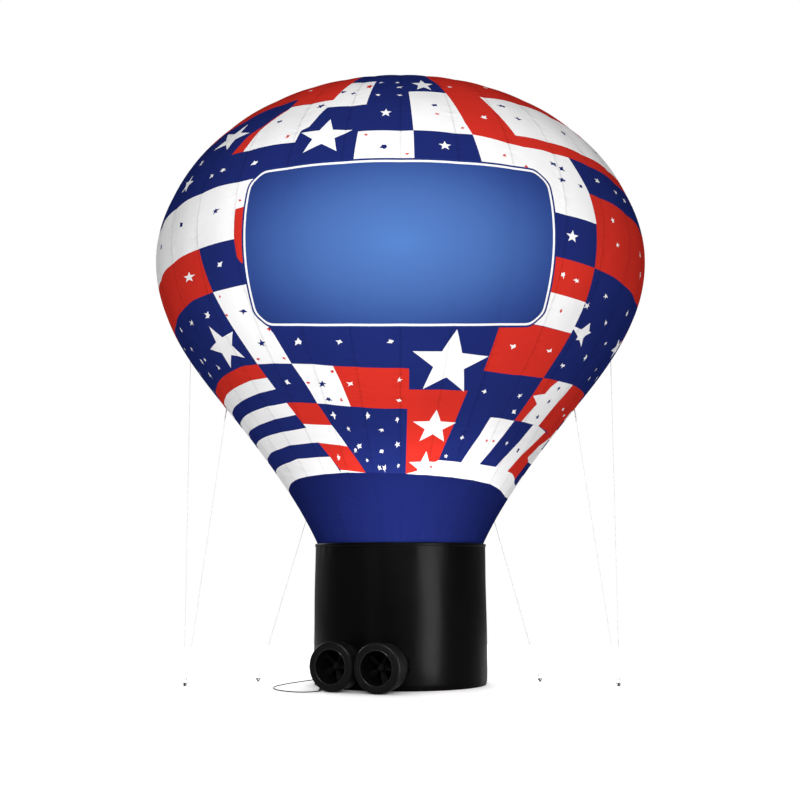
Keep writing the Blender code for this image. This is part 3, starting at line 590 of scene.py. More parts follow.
def lay_out(name, points, triangles, place, kinds, fact, numbers=None, key="cut", rim=None):
    """Piece from a flat sheet, put in space by place(points), with its true normals.

    fact(corners, middles) gives the corner attribute named key, from the corners' points and the
    faces' middles. kinds are names of looks, and numbers say which of them each triangle has. rim,
    where given, is the place function of the sheet's underside, and adds a side wall.
    """
    used, triangles = np.unique(triangles, return_inverse=True)
    triangles = triangles.reshape(-1, 3)
    points = points[used]
    places = place(points)
    corners = points[triangles]
    middles = corners.mean(axis=1, keepdims=True)
    values = fact(corners, middles).reshape(-1, 3)
    # Normals are read a little inside each corner, so that those of a crease stay apart
    flat = (corners + 0.04 * (middles - corners)).reshape(-1, 2)
    small = 1e-4
    over = place(flat + (small, 0)) - place(flat - (small, 0))
    upward = place(flat + (0, small)) - place(flat - (0, small))
    normals = np.cross(over, upward)
    normals = (normals / np.linalg.norm(normals, axis=1)[:, None]).tolist()
    faces = triangles.tolist()
    numbers = [0] * len(faces) if numbers is None else list(numbers)
    if rim:
        edges = np.concatenate([triangles[:, [0, 1]], triangles[:, [1, 2]], triangles[:, [2, 0]]])
        _, first, uses = np.unique(np.sort(edges, axis=1), axis=0, return_index=True, return_counts=True)
        outer = edges[first[uses == 1]]
        around = np.unique(outer)
        under = {vertex: len(places) + i for i, vertex in enumerate(around.tolist())}
        places = np.concatenate([places, rim(points[around])])
        for a, b in outer.tolist():
            side = np.cross(places[a] - places[b], places[under[a]] - places[a])
            side = (side / max(np.linalg.norm(side), 1e-12)).tolist()
            faces.append([b, a, under[a], under[b]])
            numbers.append(numbers[0])
            normals += [side] * 4
        values = np.concatenate([values, np.repeat(values[:1], 4 * len(outer), axis=0)])
    mesh = bpy.data.meshes.new(name)
    mesh.from_pydata(places.tolist(), [], faces)
    for kind in kinds.split():
        mesh.materials.append(looks[kind])
    mesh.polygons.foreach_set("material_index", np.asarray(numbers, dtype=np.int32))
    mesh.shade_smooth()
    attribute = mesh.attributes.new(key, "FLOAT_VECTOR", "CORNER")
    attribute.data.foreach_set("vector", values.astype(np.float32).ravel())
    mesh.normals_split_custom_set(normals)
    return add_object(name, mesh)


# Materials


def node(tree, kind, inputs=None, output=0, **settings):
    """Output of a new node; an input given as a Value is linked, any other is set."""
    made = tree.nodes.new("ShaderNode" + kind)
    for key, value in settings.items():
        setattr(made, key, value)
    for key, value in (inputs or {}).items():
        if isinstance(value, Value):
            tree.links.new(value.socket, made.inputs[key])
        else:
            made.inputs[key].default_value = value
    return Value(made.outputs[output])


def maths(operation):
    """Method of a Value that adds one maths node."""
    def add(*values):
        return node(values[0].socket.id_data, "Math", dict(enumerate(values)), operation=operation)

    return add


class Value:
    """A node's output; arithmetic on it adds maths nodes."""

    __add__, __sub__, __mul__ = maths("ADD"), maths("SUBTRACT"), maths("MULTIPLY")
    __truediv__, __pow__, __abs__ = maths("DIVIDE"), maths("POWER"), maths("ABSOLUTE")
    below, above, sine = maths("LESS_THAN"), maths("GREATER_THAN"), maths("SINE")
    turn_from, exponential, root = maths("ARCTAN2"), maths("EXPONENT"), maths("SQRT")

    def __init__(self, socket):
        self.socket = socket

    def parts(self):
        """The three parts of a vector."""
        first = node(self.socket.id_data, "SeparateXYZ", {0: self})
        return [Value(socket) for socket in first.socket.node.outputs]


class Look:
    """A Principled material, with short calls for its nodes."""

    def __init__(self, name, roughness, specular, metallic=0.0, colour=None):
        self.material = bpy.data.materials.new(name)
        self.material.use_nodes = True
        self.tree = self.material.node_tree
        self.shader = self.tree.nodes["Principled BSDF"]
        self.shader.inputs["Roughness"].default_value = roughness
        self.shader.inputs["Specular IOR Level"].default_value = specular
        self.shader.inputs["Metallic"].default_value = metallic
        if colour:
            self.shader.inputs["Base Color"].default_value = (*colour, 1)
        self.place = None

    def object_place(self):
        if not self.place:
            self.place = node(self.tree, "TexCoord", output="Object")
        return self.place

    def attribute(self, name):
        return node(self.tree, "Attribute", output="Vector", attribute_name=name).parts()

    def noise(self, scale, detail, place=None):
        inputs = {"Vector": place or self.object_place(), "Scale": scale, "Detail": detail, "Roughness": 0.5}
        return node(self.tree, "TexNoise", inputs)

    def stretch(self, *scale):
        return node(self.tree, "Mapping", {"Vector": self.object_place(), "Scale": scale})

    def remap(self, value, low, high, start=0.0, end=1.0):
        inputs = {"Value": value, "From Min": start, "From Max": end, "To Min": low, "To Max": high}
        return node(self.tree, "MapRange", inputs)

    def ramp(self, value, stops):
        made = node(self.tree, "ValToRGB", {"Fac": value})
        elements = made.socket.node.color_ramp.elements
        while len(elements) < len(stops):
            elements.new(0.5)
        for element, (position, colour) in zip(elements, stops):
            element.position = position
            element.color = (*colour, 1)
        return made

    def shades(self, colour, value, low=0.93, high=1.05):
        """The colour, darker and paler as the value goes from 0.3 to 0.7."""
        stops = [(at, tuple(min(1.0, c * share) for c in colour)) for at, share in ((0.3, low), (0.7, high))]
        return self.ramp(value, stops)

    def set(self, socket, value):
        self.tree.links.new(value.socket, self.shader.inputs[socket])

    def bump(self, height):
        """Height in metres as bump."""
        self.set("Normal", node(self.tree, "Bump", {"Height": height, "Distance": 1.0, "Strength": 1.0}))


def stitches(distance, along, at, pitch=STITCH_PITCH):
    """Row of stitches at a distance from an edge, as a dip in metres."""
    row = abs(distance - at).below(STITCH_WIDTH / 2)
    dash = (along * pitch).sine().above(-0.2)
    return row * dash * -STITCH_DEPTH


def weave(across, along, depth):
    """Weft and warp, as a height in metres."""
    return (across * THREAD_PITCH).sine() * (along * THREAD_PITCH).sine() * depth


def cloth(name, colour, painted_seam_shade=0.86):
    """Coated polyester of the envelope: weave, soft ripples, puckers and stitches at the seams, with painted
    shade along them.
    """
    look = Look(name, 0.65, 0.0)
    across, along, seam = look.attribute("cut")
    # Painted shade: the colour is a little darker along each seam, where the seam's pulled-in crease lies in
    # shade
    near = look.remap(seam, painted_seam_shade, 1.0, 0.004, 0.011)
    shade = {0: look.shades(colour, look.noise(1.1, 3)), "Scale": near}
    look.set("Base Color", node(look.tree, "VectorMath", shade, operation="SCALE"))
    # Puckers run across the seam and die away from it
    line = node(look.tree, "CombineXYZ", {0: seam * 6.0, 1: along * 16.0})
    local = node(look.tree, "VectorMath", {0: line, 1: look.stretch(1.3, 1.3, 0.2)}, operation="ADD")
    height = look.noise(1.0, 2, local) * (seam * -16.0).exponential() * 0.017
    height += look.noise(2.6, 2, look.stretch(1.0, 1.0, 0.6)) * 0.012
    # Two layers of cloth at the seam, a row of stitches on each side, and the weave
    height += seam.below(0.009) * CLOTH_THICKNESS
    height += stitches(seam, along, 0.006)
    height += weave(across, along, 0.00005)
    look.bump(height)
    return look.material


def panel(name, colour=None):
    """Banner's cloth in one colour or, without one, printed blue that darkens towards the corners."""
    look = Look(name, 0.6, 0.0)
    across, down, edge = look.attribute("panel")
    height = look.noise(2.4, 2, look.stretch(1.0, 1.0, 0.6)) * 0.010
    height += weave(across, down, 0.00004)
    for at in (0.006, 0.012):
        height += stitches(edge, across + down, at)
    look.bump(height)
    if colour:
        look.set("Base Color", look.shades(colour, look.noise(1.1, 3)))
    else:
        away = (abs(across / BANNER_FADE_WIDE) ** 2.0 + abs(down / BANNER_FADE_TALL) ** 2.0).root()
        stops = [(at / BANNER_FADE, lit(shade)) for at, shade in BANNER_SHADES]
        look.set("Base Color", look.ramp(away / BANNER_FADE, stops))
    return look.material


def vinyl(name, rows=(), seams=True):
    """Smooth coated black cloth, half gloss, with shallow creases and sewn seams."""
    look = Look(name, 0.34, 0.045)
    look.set("Base Color", look.shades(linear(VINYL_BLACK), look.noise(3.0, 3), 0.8, 1.25))
    look.set("Roughness", look.remap(look.noise(6.0, 4), 0.30, 0.38))
    height = look.noise(2.0, 2, look.stretch(1.6, 1.6, 0.35)) * 0.006
    height += look.noise(420.0, 1) * 0.00006
    if seams:
        _, along, seam = look.attribute("cut")
        height += seam.below(0.014) * CLOTH_THICKNESS
        for at in (0.005, 0.010):
            height += stitches(seam, along, at)
    if rows:
        x, y, up = look.object_place().parts()
        for row in rows:
            height += stitches(up, x.turn_from(y), row, HEM_STITCH_PITCH)
    look.bump(height)
    return look.material


def grained(name, colour, roughness, specular, metallic, blotches, shades, grain, depth):
    """Look with blotches of its colour and a fine grain; both are a noise's scale and detail."""
    look = Look(name, roughness, specular, metallic, colour)
    look.set("Base Color", look.shades(colour, look.noise(*blotches), *shades))
    look.bump(look.noise(*grain) * depth)
    return look


def plastic(name, colour, roughness=0.42, specular=0.12):
    """Moulded plastic with a fine grain and a little wear."""
    look = grained(name, colour, roughness, specular, 0.0, (14.0, 4), (0.85, 1.30), (650.0, 2), 0.00010)
    look.set("Roughness", look.remap(look.noise(22.0, 5), roughness - 0.07, roughness + 0.10))
    return look.material


def painted_metal(name, colour, metallic, roughness=0.45):
    look = grained(name, colour, roughness, 0.4, metallic, (40.0, 4), (0.8, 1.35), (300.0, 2), 0.00012)
    return look.material


def rubber(name, colour):
    return grained(name, colour, 0.58, 0.25, 0.0, (30.0, 3), (0.85, 1.2), (900.0, 1), 0.00005).material


def woven(name, colour, rib, depth=0.00025):
    """Webbing or braided rope: slanting ribs both ways."""
    look = Look(name, 0.85, 0.15, colour=colour)
    x, y, up = look.object_place().parts()
    level, turns = x + y, 2 * math.pi / rib
    ribs = ((level + up) * turns).sine() * ((level - up) * turns).sine()
    look.set("Base Color", look.shades(colour, look.noise(60.0, 3), 0.85, 1.15))
    look.bump(ribs * depth)
    return look.material


# Shapes


def circle(count):
    """Cosine and sine of even steps round a circle."""
    return [(math.cos(2 * math.pi * k / count), math.sin(2 * math.pi * k / count)) for k in range(count)]


def join(shape, one, two, number=0):
    """Quads between two rings of as many points."""
    for i in range(len(one)):
        j = (i + 1) % len(one)
        shape.faces.new((one[i], one[j], two[j], two[i])).material_index = number


def loft(shape, rings, number=0, caps=True):
    """Join rings in a row, and cap both ends."""
    for one, two in zip(rings, rings[1:]):
        join(shape, one, two, number)
    if caps:
        shape.faces.new(rings[0][::-1]).material_index = number
        shape.faces.new(rings[-1]).material_index = number


def lathe(shape, profile, sides, number=0, closed=False, matrix=None):
    """Turn (radius, along) points about +Y; open ends get caps, or meet on the axis."""
    rings = []
    for radius, along in profile:
        steps = circle(sides) if radius >= 1e-6 else [(0, 0)]
        rings.append([shape.verts.new((radius * a, along, radius * b)) for a, b in steps])
    made = []
    for one, two in list(zip(rings, rings[1:])) + ([(rings[-1], rings[0])] if closed else []):
        for i in range(sides):
            j = (i + 1) % sides
            corners = [one[i % len(one)], one[j % len(one)], two[j % len(two)], two[i % len(two)]]
            made.append(shape.faces.new(list(dict.fromkeys(corners))))
    if not closed:
        made += [shape.faces.new(ring) for ring in (rings[0], rings[-1]) if len(ring) > 2]
    for face in made:
        face.material_index = number
    if matrix:
        bmesh.ops.transform(shape, matrix=matrix, verts=[vertex for ring in rings for vertex in ring])


def rounded(points, radius, steps=4, closed=False):
    """Outline with its corners rounded; radius is one size or one for each corner."""
    points = [Vector(p) for p in points]
    count = len(points)
    sizes = radius if hasattr(radius, "__len__") else [radius] * count
    made = []
    for i, corner in enumerate(points):
        if not closed and i in (0, count - 1) or sizes[i] <= 0:
            made.append(tuple(corner))
            continue
        before, after = points[i - 1], points[(i + 1) % count]
        start = corner + (before - corner).normalized() * min(sizes[i], (before - corner).length * 0.49)
        end = corner + (after - corner).normalized() * min(sizes[i], (after - corner).length * 0.49)
        for step in range(steps + 1):
            t = step / steps
            made.append(tuple(start * (1 - t) ** 2 + corner * (2 * t * (1 - t)) + end * t * t))
    return made


def hoop(shape, radii, span, sizes, steps, sides=128):
    """Closed ring about +Y from the inner to the outer radius, over a span along it."""
    (inner, outer), (start, end) = radii, span
    corners = [(inner, start), (outer, start), (outer, end), (inner, end)]
    lathe(shape, rounded(corners, sizes, steps, closed=True), sides, closed=True)


def turn_about(degrees, axis="Y"):
    return Matrix.Rotation(math.radians(degrees), 4, axis)


def turn_towards(direction):
    """Rotation that brings +Y to a direction."""
    return direction.to_track_quat("Y", "Z").to_matrix().to_4x4()


def box(shape, low, high, edge=0.0, steps=2, number=0, matrix=None):
    """Box with rounded edges."""
    size, middle = Vector(high) - Vector(low), (Vector(high) + Vector(low)) / 2
    verts = bmesh.ops.create_cube(shape, size=1.0)["verts"]
    for vertex in verts:
        vertex.co = vertex.co * size + middle
    if edge:
        edges = list(dict.fromkeys(e for vertex in verts for e in vertex.link_edges))
        beveled = bmesh.ops.bevel(
            shape, geom=edges, offset=edge, segments=steps, profile=0.5, affect="EDGES", clamp_overlap=True,
            material=-1,
        )
        left = [v for v in verts if v.is_valid]
        verts = list(dict.fromkeys([v for f in beveled["faces"] for v in f.verts] + left))
    for face in {f for v in verts for f in v.link_faces}:
        face.material_index = number
    if matrix:
        bmesh.ops.transform(shape, matrix=matrix, verts=verts)


def tube(shape, path, radius, sides=10, number=0, closed=False):
    """Round tube along a path, without twist."""
    path = [Vector(p) for p in path]
    count = len(path)
    across = None
    rings = []
    for i, point in enumerate(path):
        before = path[i - 1] if i or closed else path[0]
        after = path[(i + 1) % count] if i < count - 1 or closed else path[-1]
        run = (after - before).normalized()
        if across is None:
            across = run.orthogonal().normalized()
        across = (across - run * across.dot(run)).normalized()
        up = run.cross(across)
        rings.append([shape.verts.new(point + (across * a + up * b) * radius) for a, b in circle(sides)])
    loft(shape, rings, number, caps=not closed)
    if closed:
        # The last ring meets the first one's nearest points
        last, first = rings[-1], rings[0]
        shift = min(range(sides), key=lambda s: (first[s].co - last[0].co).length)
        join(shape, last, first[shift:] + first[:shift], number)


def finish_piece(name, shape, kinds, stands_for=(), body="root", matrix=None, sharp=32):
    """Turn a bmesh into a piece that rides on a body and stands for the nodes named."""
    bmesh.ops.recalc_face_normals(shape, faces=shape.faces)
    if matrix:
        bmesh.ops.transform(shape, matrix=matrix, verts=shape.verts)
    mesh = bpy.data.meshes.new(name)
    shape.to_mesh(mesh)
    shape.free()
    for kind in kinds.split():
        mesh.materials.append(looks[kind])
    mesh.shade_smooth()
    mesh.set_sharp_from_angle(angle=math.radians(sharp))
    return place_piece(add_object(name, mesh), body, stands_for)


def place_piece(piece, body="root", replaces=()):
    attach(piece, body)
    if replaces:
        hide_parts(*replaces)
    return piece


def smooth_route(points, spacing):
    """Even points on a smooth curve through the given ones."""
    dense = []
    ends = [points[0] * 2 - points[1]] + points + [points[-1] * 2 - points[-2]]
    steps = 24
    for before, start, end, after in zip(ends, ends[1:], ends[2:], ends[3:]):
        for step in range(steps):
            t = step / steps
            pull_start, pull_end = (end - before) / 2, (after - start) / 2
            dense.append(
                start * (2 * t**3 - 3 * t**2 + 1)
                + pull_start * (t**3 - 2 * t**2 + t)
                + end * (3 * t**2 - 2 * t**3)
                + pull_end * (t**3 - t**2)
            )
    dense.append(points[-1])
    total = sum((b - a).length for a, b in zip(dense, dense[1:]))
    count = round(total / spacing)
    even = [dense[0]]
    gone, wanted = 0.0, total / count
    for a, b in zip(dense, dense[1:]):
        step = (b - a).length
        while gone + step >= wanted and len(even) < count:
            even.append(a + (b - a) * ((wanted - gone) / step))
            wanted += total / count
        gone += step
    return even + [dense[-1]]


# Camera, then the lead


def make_camera():
    camera = bpy.data.cameras.new("camera")
    camera.lens = CAMERA_LENS
    camera.sensor_width = CAMERA_SENSOR
    camera.shift_x = CAMERA_SHIFT
    holder = add_object("camera", camera)
    holder.location = CAMERA_PLACE
    holder.rotation_euler = (math.radians(90 + CAMERA_PITCH), 0, 0)
    bpy.context.scene.camera = holder


def blower_matrix(x, y, angle):
    """Place of the blower's own axes: +Y along its axis from the middle of the inlet's face."""
    return Matrix.Translation((x, y, RING_RADIUS)) @ turn_about(-angle, "Z")


def gland_place():
    """Middle of the switch box's outer face, in the blower's axes."""
    reach = HOUSING_RADIUS + BOX_DEPTH - 0.002
    return Vector((reach * math.cos(BOX_ANGLE), (BOX_START + BOX_END) / 2, reach * math.sin(BOX_ANGLE)))


def lead_exit():
    """Tip of the left blower's gland and the direction it points in."""
    place = blower_matrix(*BLOWERS[0][1:])
    outward = place.to_3x3() @ Vector((-1, 0, 0))
    return place @ gland_place() + outward * GLAND_LENGTH, outward


def ease(t):
    return t * t * (3 - 2 * t) if 0 < t < 1 else float(t >= 1)


def coil_points():
    """Turns of the coil, clockwise: an outer and an inner one below, an inner and an outer one on them.

    The last turn rises over the others and goes on in one wide bend into the plug.
    """
    made = []
    last = COIL_TURNS + (COIL_START - COIL_END) / (2 * math.pi)
    steps = round(last * 36)
    for step in range(1, steps + 1):
        turn = last * step / steps
        # Each ease starts at its first number of turns and takes the second
        inward = ease((turn - 0.85) / 0.3) - ease((turn - 2.85) / 0.3) + 0.4 * ease((turn - 3.85) / 0.35)
        radius = COIL_OUTER + (COIL_INNER - COIL_OUTER) * inward
        radius += COIL_ENTRY * (1 - ease(turn / 0.22))
        height = LEAD_ON_FLOOR + COIL_LAYER * ease((turn - 1.85) / 0.3)
        height += COIL_TOP_LAYER * ease((turn - 3.62) / 0.40)
        angle = COIL_START - 2 * math.pi * turn
        x, y = COIL_CENTRE[0] + radius * math.cos(angle), COIL_CENTRE[1] + radius * math.sin(angle)
        made.append(Vector((x, y, height)))
    start, run = made[-1], (made[-1] - made[-2]).normalized()
    rear, inward = Vector(PLUG_REAR), Vector((0, -1, 0))
    bend = interpolate_bezier(start, start + run * 0.074, rear - inward * 0.041, rear + inward * 0.001, 36)
    return made + bend[1:]


def make_lead():
    at, outward = lead_exit()
    first = at + outward * (RELIEF_LENGTH + GAP)
    route = [first, first + outward * 0.025] + [Vector(point) for point in LEAD_IN_AIR]
    route += [Vector((x, y, LEAD_ON_FLOOR)) for x, y in LEAD_LOOP]
    whole = smooth_route(route, 0.012) + coil_points()
    curve = bpy.data.curves.new("lead", "CURVE")
    curve.dimensions = "3D"
    curve.bevel_depth = LEAD_DIAMETER / 2
    curve.bevel_resolution = 4
    curve.use_fill_caps = True
    line = curve.splines.new("POLY")
    line.points.add(len(whole) - 1)
    for made, point in zip(line.points, whole):
        made.co = (*point, 1.0)
    curve.materials.append(looks["rubber"])
    lead = add_object("lead", curve)
    place_piece(lead, replaces=("lead_tube", "lead_coil"))
    plug_piece()


def relief_piece():
    """Tapered bend relief with ribs, between the gland and the lead."""
    at, outward = lead_exit()
    profile = [(0.0, GAP), (0.0085, GAP)]
    for k in range(7):
        start = 0.004 + k * 0.005
        size = 0.0085 - 0.0029 * start / RELIEF_LENGTH
        for inward, along in ((0, 0), (0, 0.0030), (0.0016, 0.0034), (0.0018, 0.0046)):
            profile.append((size - inward, start + along))
    profile += [(0.0056, RELIEF_LENGTH - 0.0008), (0.0050, RELIEF_LENGTH), (0.0, RELIEF_LENGTH)]
    shape = bmesh.new()
    lathe(shape, profile, 32)
    place = Matrix.Translation(at) @ turn_towards(outward)
    finish_piece("bend_relief", shape, "rubber", ("strain_relief",), matrix=place)


def plug_piece():
    """Moulded plug; its own +Y points from its rear face to its blades."""
    # Sections along it: place, half width, half height
    spans = [
        (0.000, 0.0065, 0.0065), (0.002, 0.0072, 0.0072), (0.010, 0.0085, 0.0080), (0.016, 0.0115, 0.0090),
        (0.022, 0.0148, 0.0108), (0.028, 0.0158, 0.0118), (0.040, 0.0160, 0.0120), (0.0455, 0.0160, 0.0120),
        (0.0472, 0.0150, 0.0110), (0.048, 0.0138, 0.0098),
    ]
    shape = bmesh.new()
    rings = []
    for along, wide, tall in spans:
        ring = []
        for a, b in circle(40):
            square = 0.97 * (a**4 + b**4) ** -0.25
            ring.append(shape.verts.new((wide * square * a, along, tall * square * b)))
        rings.append(ring)
    loft(shape, rings)
    # Finger ribs on both flanks, and the two blades
    for side in (-1, 1):
        for k in range(4):
            y = 0.027 + k * 0.0042
            box(shape, (side * 0.0150, y, -0.0075), (side * 0.0166, y + 0.0018, 0.0075), 0.0007)
        x = side * 0.00635
        box(shape, (x - 0.0008, 0.046, -0.00325), (x + 0.0008, 0.0655, 0.00325), 0.0006, 2, 1)
    place = Matrix.Translation(PLUG_REAR) @ turn_about(180, "Z")
    return finish_piece("plug_body", shape, "rubber brass", ("lead_plug",), matrix=place)


# Envelope


def to_sheet(outline):
    return [(azimuth * TURN_SCALE, -arc) for azimuth, arc in outline]


def star_outline(azimuth, arc, wide, tall, turn, inner=0.42, tips=5, uneven=None):
    """Star's corners; uneven, where given, is the random draw that its points' reach varies with."""
    made = []
    for k in range(2 * tips):
        angle = math.radians(turn) + math.pi * k / tips
        reach = inner if k % 2 else 1.0
        if uneven:
            reach *= uneven.uniform(0.55, 1.15)
        made.append((azimuth + wide * reach * math.sin(angle), arc - tall * reach * math.cos(angle)))
    return made


def print_layers():
    """Colours and outlines of the print in the order in which they cover each other."""
    layers = [(colour, outline) for _, colour, outline in PATCHES]
    for edges in STRIPES:
        top, foot = ([end] + list(zip(STRIPE_TURNS, arcs)) for end, *arcs in edges)
        layers.append(("white", top + foot[::-1]))
    layers += [(colour, outline) for _, colour, outline in LOWER_PATCHES]
    layers += [(colour, star_outline(*star)) for colour, *star in STARS]
    draw = random.Random(7)
    for colour, places in SPECKS.items():
        for azimuth, arc in places:
            wide = SPECK_TURN * SPECK_SIZES[colour] * draw.uniform(0.8, 1.35)
            tall = SPECK_ARC * SPECK_SIZES[colour] * draw.uniform(0.8, 1.3)
            tips = draw.choice((4, 5, 5))
            turn = draw.uniform(0, 72)
            layers.append((colour, star_outline(azimuth, arc, wide, tall, turn, 0.50, tips, draw)))
    layers.append(("skirt", PRINT_FOOT + [(PRINT_RIGHT, SKIRT_END), (PRINT_LEFT, SKIRT_END)]))
    return layers


def turn_step(radius):
    """Degrees between points at a radius of the envelope."""
    for least, step in ((1.5, 1.0), (0.9, 1.5), (0.6, 2.0), (0.3, 3.0)):
        if radius > least:
            return step
    return 6.0


def envelope_pieces():
    """The printed cloth and the plain skirt below it, cut from one sheet."""
    layers = print_layers()
    arcs = list(np.linspace(POLE_ARC, SKIRT_END, round((SKIRT_END - POLE_ARC) / SHEET_STEP) + 1))
    ends = (PRINT_LEFT, PRINT_RIGHT)
    edge_arcs = {round(arc, 5) for _, outline in layers for azimuth, arc in outline if azimuth in ends}
    side = sorted({round(arc, 5) for arc in arcs} | edge_arcs)
    side = [a for a in side if a in edge_arcs or all(abs(a - b) > 0.012 for b in edge_arcs)]

    def turns(arc):
        return np.arange(PRINT_LEFT, PRINT_RIGHT + 0.01, turn_step(float(outline_at(arc)[0])))

    top = [(t, POLE_ARC) for t in turns(POLE_ARC)[1:-1]]
    foot = [(t, SKIRT_END) for t in turns(SKIRT_END)[1:-1]]
    border = [(PRINT_LEFT, a) for a in side[::-1]] + top + [(PRINT_RIGHT, a) for a in side] + foot[::-1]
    inner = [(t, a) for a in arcs[1:-1] for t in turns(a)[1:-1]]
    seams = np.arange(PRINT_LEFT + GORE_TURN, PRINT_RIGHT, GORE_TURN)
    still = (PRINT_LEFT * TURN_SCALE, PRINT_RIGHT * TURN_SCALE)
    points, triangles, top_layer = cut_sheet(
        to_sheet(border), [to_sheet(outline) for _, outline in layers], to_sheet(inner), SHEET_STEP, still,
        [to_sheet([(t, a) for a in arcs[1:-1]]) for t in seams],
    )
    for x in still:
        points[np.abs(points[:, 0] - x) < 1e-4, 0] = x
    # The rear is the front's print turned half round, and both halves are welded at their sides
    triangles = np.concatenate([triangles, triangles + len(points)])
    points = np.concatenate([points, points + (180 * TURN_SCALE, 0)])
    names = np.array(["navy"] + [colour for colour, _ in layers])
    colours = np.tile(names[top_layer], 2)

    def place(p):
        return skin(p[..., 0] / TURN_SCALE, -p[..., 1])

    def cut(corners, middles):
        """Across the gore, along it, and the distance to its seam."""
        azimuth, arc = corners[..., 0] / TURN_SCALE, -corners[..., 1]
        gore = np.floor(middles[..., 0] / TURN_SCALE / GORE_TURN) + 0.5
        radius = outline_at(arc)[0]
        across = np.radians(azimuth - gore * GORE_TURN) * radius
        seam = np.abs(np.radians(GORE_TURN / 2) * radius - np.abs(across))
        return np.stack([across, arc, seam], axis=-1)

    for name, kinds, stands_for, slot in (
        ("envelope_print", "navy red white", "envelope", "print_cloth"),
        ("skirt", "skirt", "neck_skirt", "navy_cloth"),
    ):
        kept = np.isin(colours, kinds.split())
        numbers = [kinds.split().index(colour) for colour in colours[kept]]
        piece = lay_out(name, points, triangles[kept], place, kinds, cut, numbers)
        weld(piece)
        place_piece(piece, replaces=(stands_for,))


def weld(piece):
    """Join sides that lie on the same points, and keep the normals."""
    mesh = piece.data
    normals = np.zeros(len(mesh.loops) * 3, np.float32)
    mesh.corner_normals.foreach_get("vector", normals)
    shape = bmesh.new()
    shape.from_mesh(mesh)
    bmesh.ops.remove_doubles(shape, verts=[v for v in shape.verts if v.is_boundary], dist=2e-5)
    shape.to_mesh(mesh)
    shape.free()
    mesh.normals_split_custom_set(normals.reshape(-1, 3).tolist())


def round_patch(name, radius, sides, grid, limit, step, place, under):
    """Round patch of navy cloth on the envelope, stitched near its edge.

    grid holds both coordinates of the points inside it, limit is how far out these reach, and
    under is the height of the cloth's underside.
    """
    around = [(radius * a, radius * b) for a, b in circle(sides)]
    inner = [(x, y) for x in grid for y in grid if math.hypot(x, y) < limit]
    points, triangles, _ = cut_sheet(around, [], inner, step)

    def cut(corners, middles):
        x, y = corners[..., 0], corners[..., 1]
        return np.stack([x, y, radius - np.hypot(x, y)], axis=-1)

    return lay_out(name, points, triangles, place, "crown", cut, rim=lambda p: place(p, under, 1.0))


def crown_piece():
    """Patch where the gores meet."""
    def place(p, lift=0.0028, follow=0.6):
        azimuth = np.degrees(np.arctan2(p[..., 0], -p[..., 1]))
        return skin(azimuth, np.hypot(p[..., 0], p[..., 1]), lift, follow)

    radius, step = 0.300, 0.024
    grid = np.arange(-radius, radius, step)
    piece = round_patch("crown_cap", radius, 96, grid, radius - step / 2, step, place, 0.0002)
    place_piece(piece, replaces=("crown_patch",))


# Banner


def banner_place(points, lift=BANNER_LIFT, follow=0.5, turn=0.0):
    """Points of the banner from (across, up) on its flat cloth, up counted from its upper edge."""
    share, down = points[..., 0] / BANNER_HALF_WIDTH, -points[..., 1]
    arc = BANNER_TOP + down - BANNER_RISE * share**2 * down / BANNER_HEIGHT
    azimuth = BANNER_MIDDLE + share * (BANNER_HALF_TURN + BANNER_TURN_GROWTH * (arc - BANNER_TOP))
    return skin(azimuth + turn, arc, lift, follow)


def panel_facts(corners, middles=None):
    """Across and down from the banner's middle, and the distance to its edge."""
    across, down = corners[..., 0], -corners[..., 1] - BANNER_HEIGHT / 2
    from_side = BANNER_HALF_WIDTH - np.abs(across)
    from_top = BANNER_HEIGHT / 2 - np.abs(down)
    from_corner = (from_side + from_top - BANNER_CORNER) / math.sqrt(2)
    return np.stack([across, down, np.minimum(np.minimum(from_side, from_top), from_corner)], axis=-1)


def banner_outline(inset):
    half, top, foot = BANNER_HALF_WIDTH - inset, -inset, inset - BANNER_HEIGHT
    cut = BANNER_CORNER - inset * (2 - math.sqrt(2))
    corners = [
        (half, top - cut), (half - cut, top), (cut - half, top), (-half, top - cut),
        (-half, foot + cut), (cut - half, foot), (half - cut, foot), (half, foot + cut),
    ]
    return rounded(corners, BANNER_CORNER_ROUND, 4, closed=True)


def banner_pieces():
    layers = [banner_outline(inset) for inset in (0.0, BANNER_BORDER, BANNER_BORDER + BANNER_LINE)]
    step = 0.040
    grid = [
        (x, -y)
        for x in np.arange(-BANNER_HALF_WIDTH + step / 2, BANNER_HALF_WIDTH, step)
        for y in np.arange(step / 2, BANNER_HEIGHT, step)
    ]
    inside = [p for p in grid if panel_facts(np.array(p))[2] > 0.06]
    points, triangles, top_layer = cut_sheet(layers[0], layers[1:], inside, step)
    for name, turn in (("banner_front", 0.0), ("banner_rear", 180.0)):
        piece = lay_out(
            name + "_cloth", points, triangles, lambda p: banner_place(p, turn=turn),
            "banner_edge banner_white banner", panel_facts, top_layer, "panel",
            rim=lambda p: banner_place(p, lift=0.0002, follow=1.0, turn=turn),
        )
        place_piece(piece, replaces=(name,))


# Drum and hem


def drum_radius(height):
    return np.interp(height, [h for _, h in DRUM_OUTSIDE], [r for r, _ in DRUM_OUTSIDE])


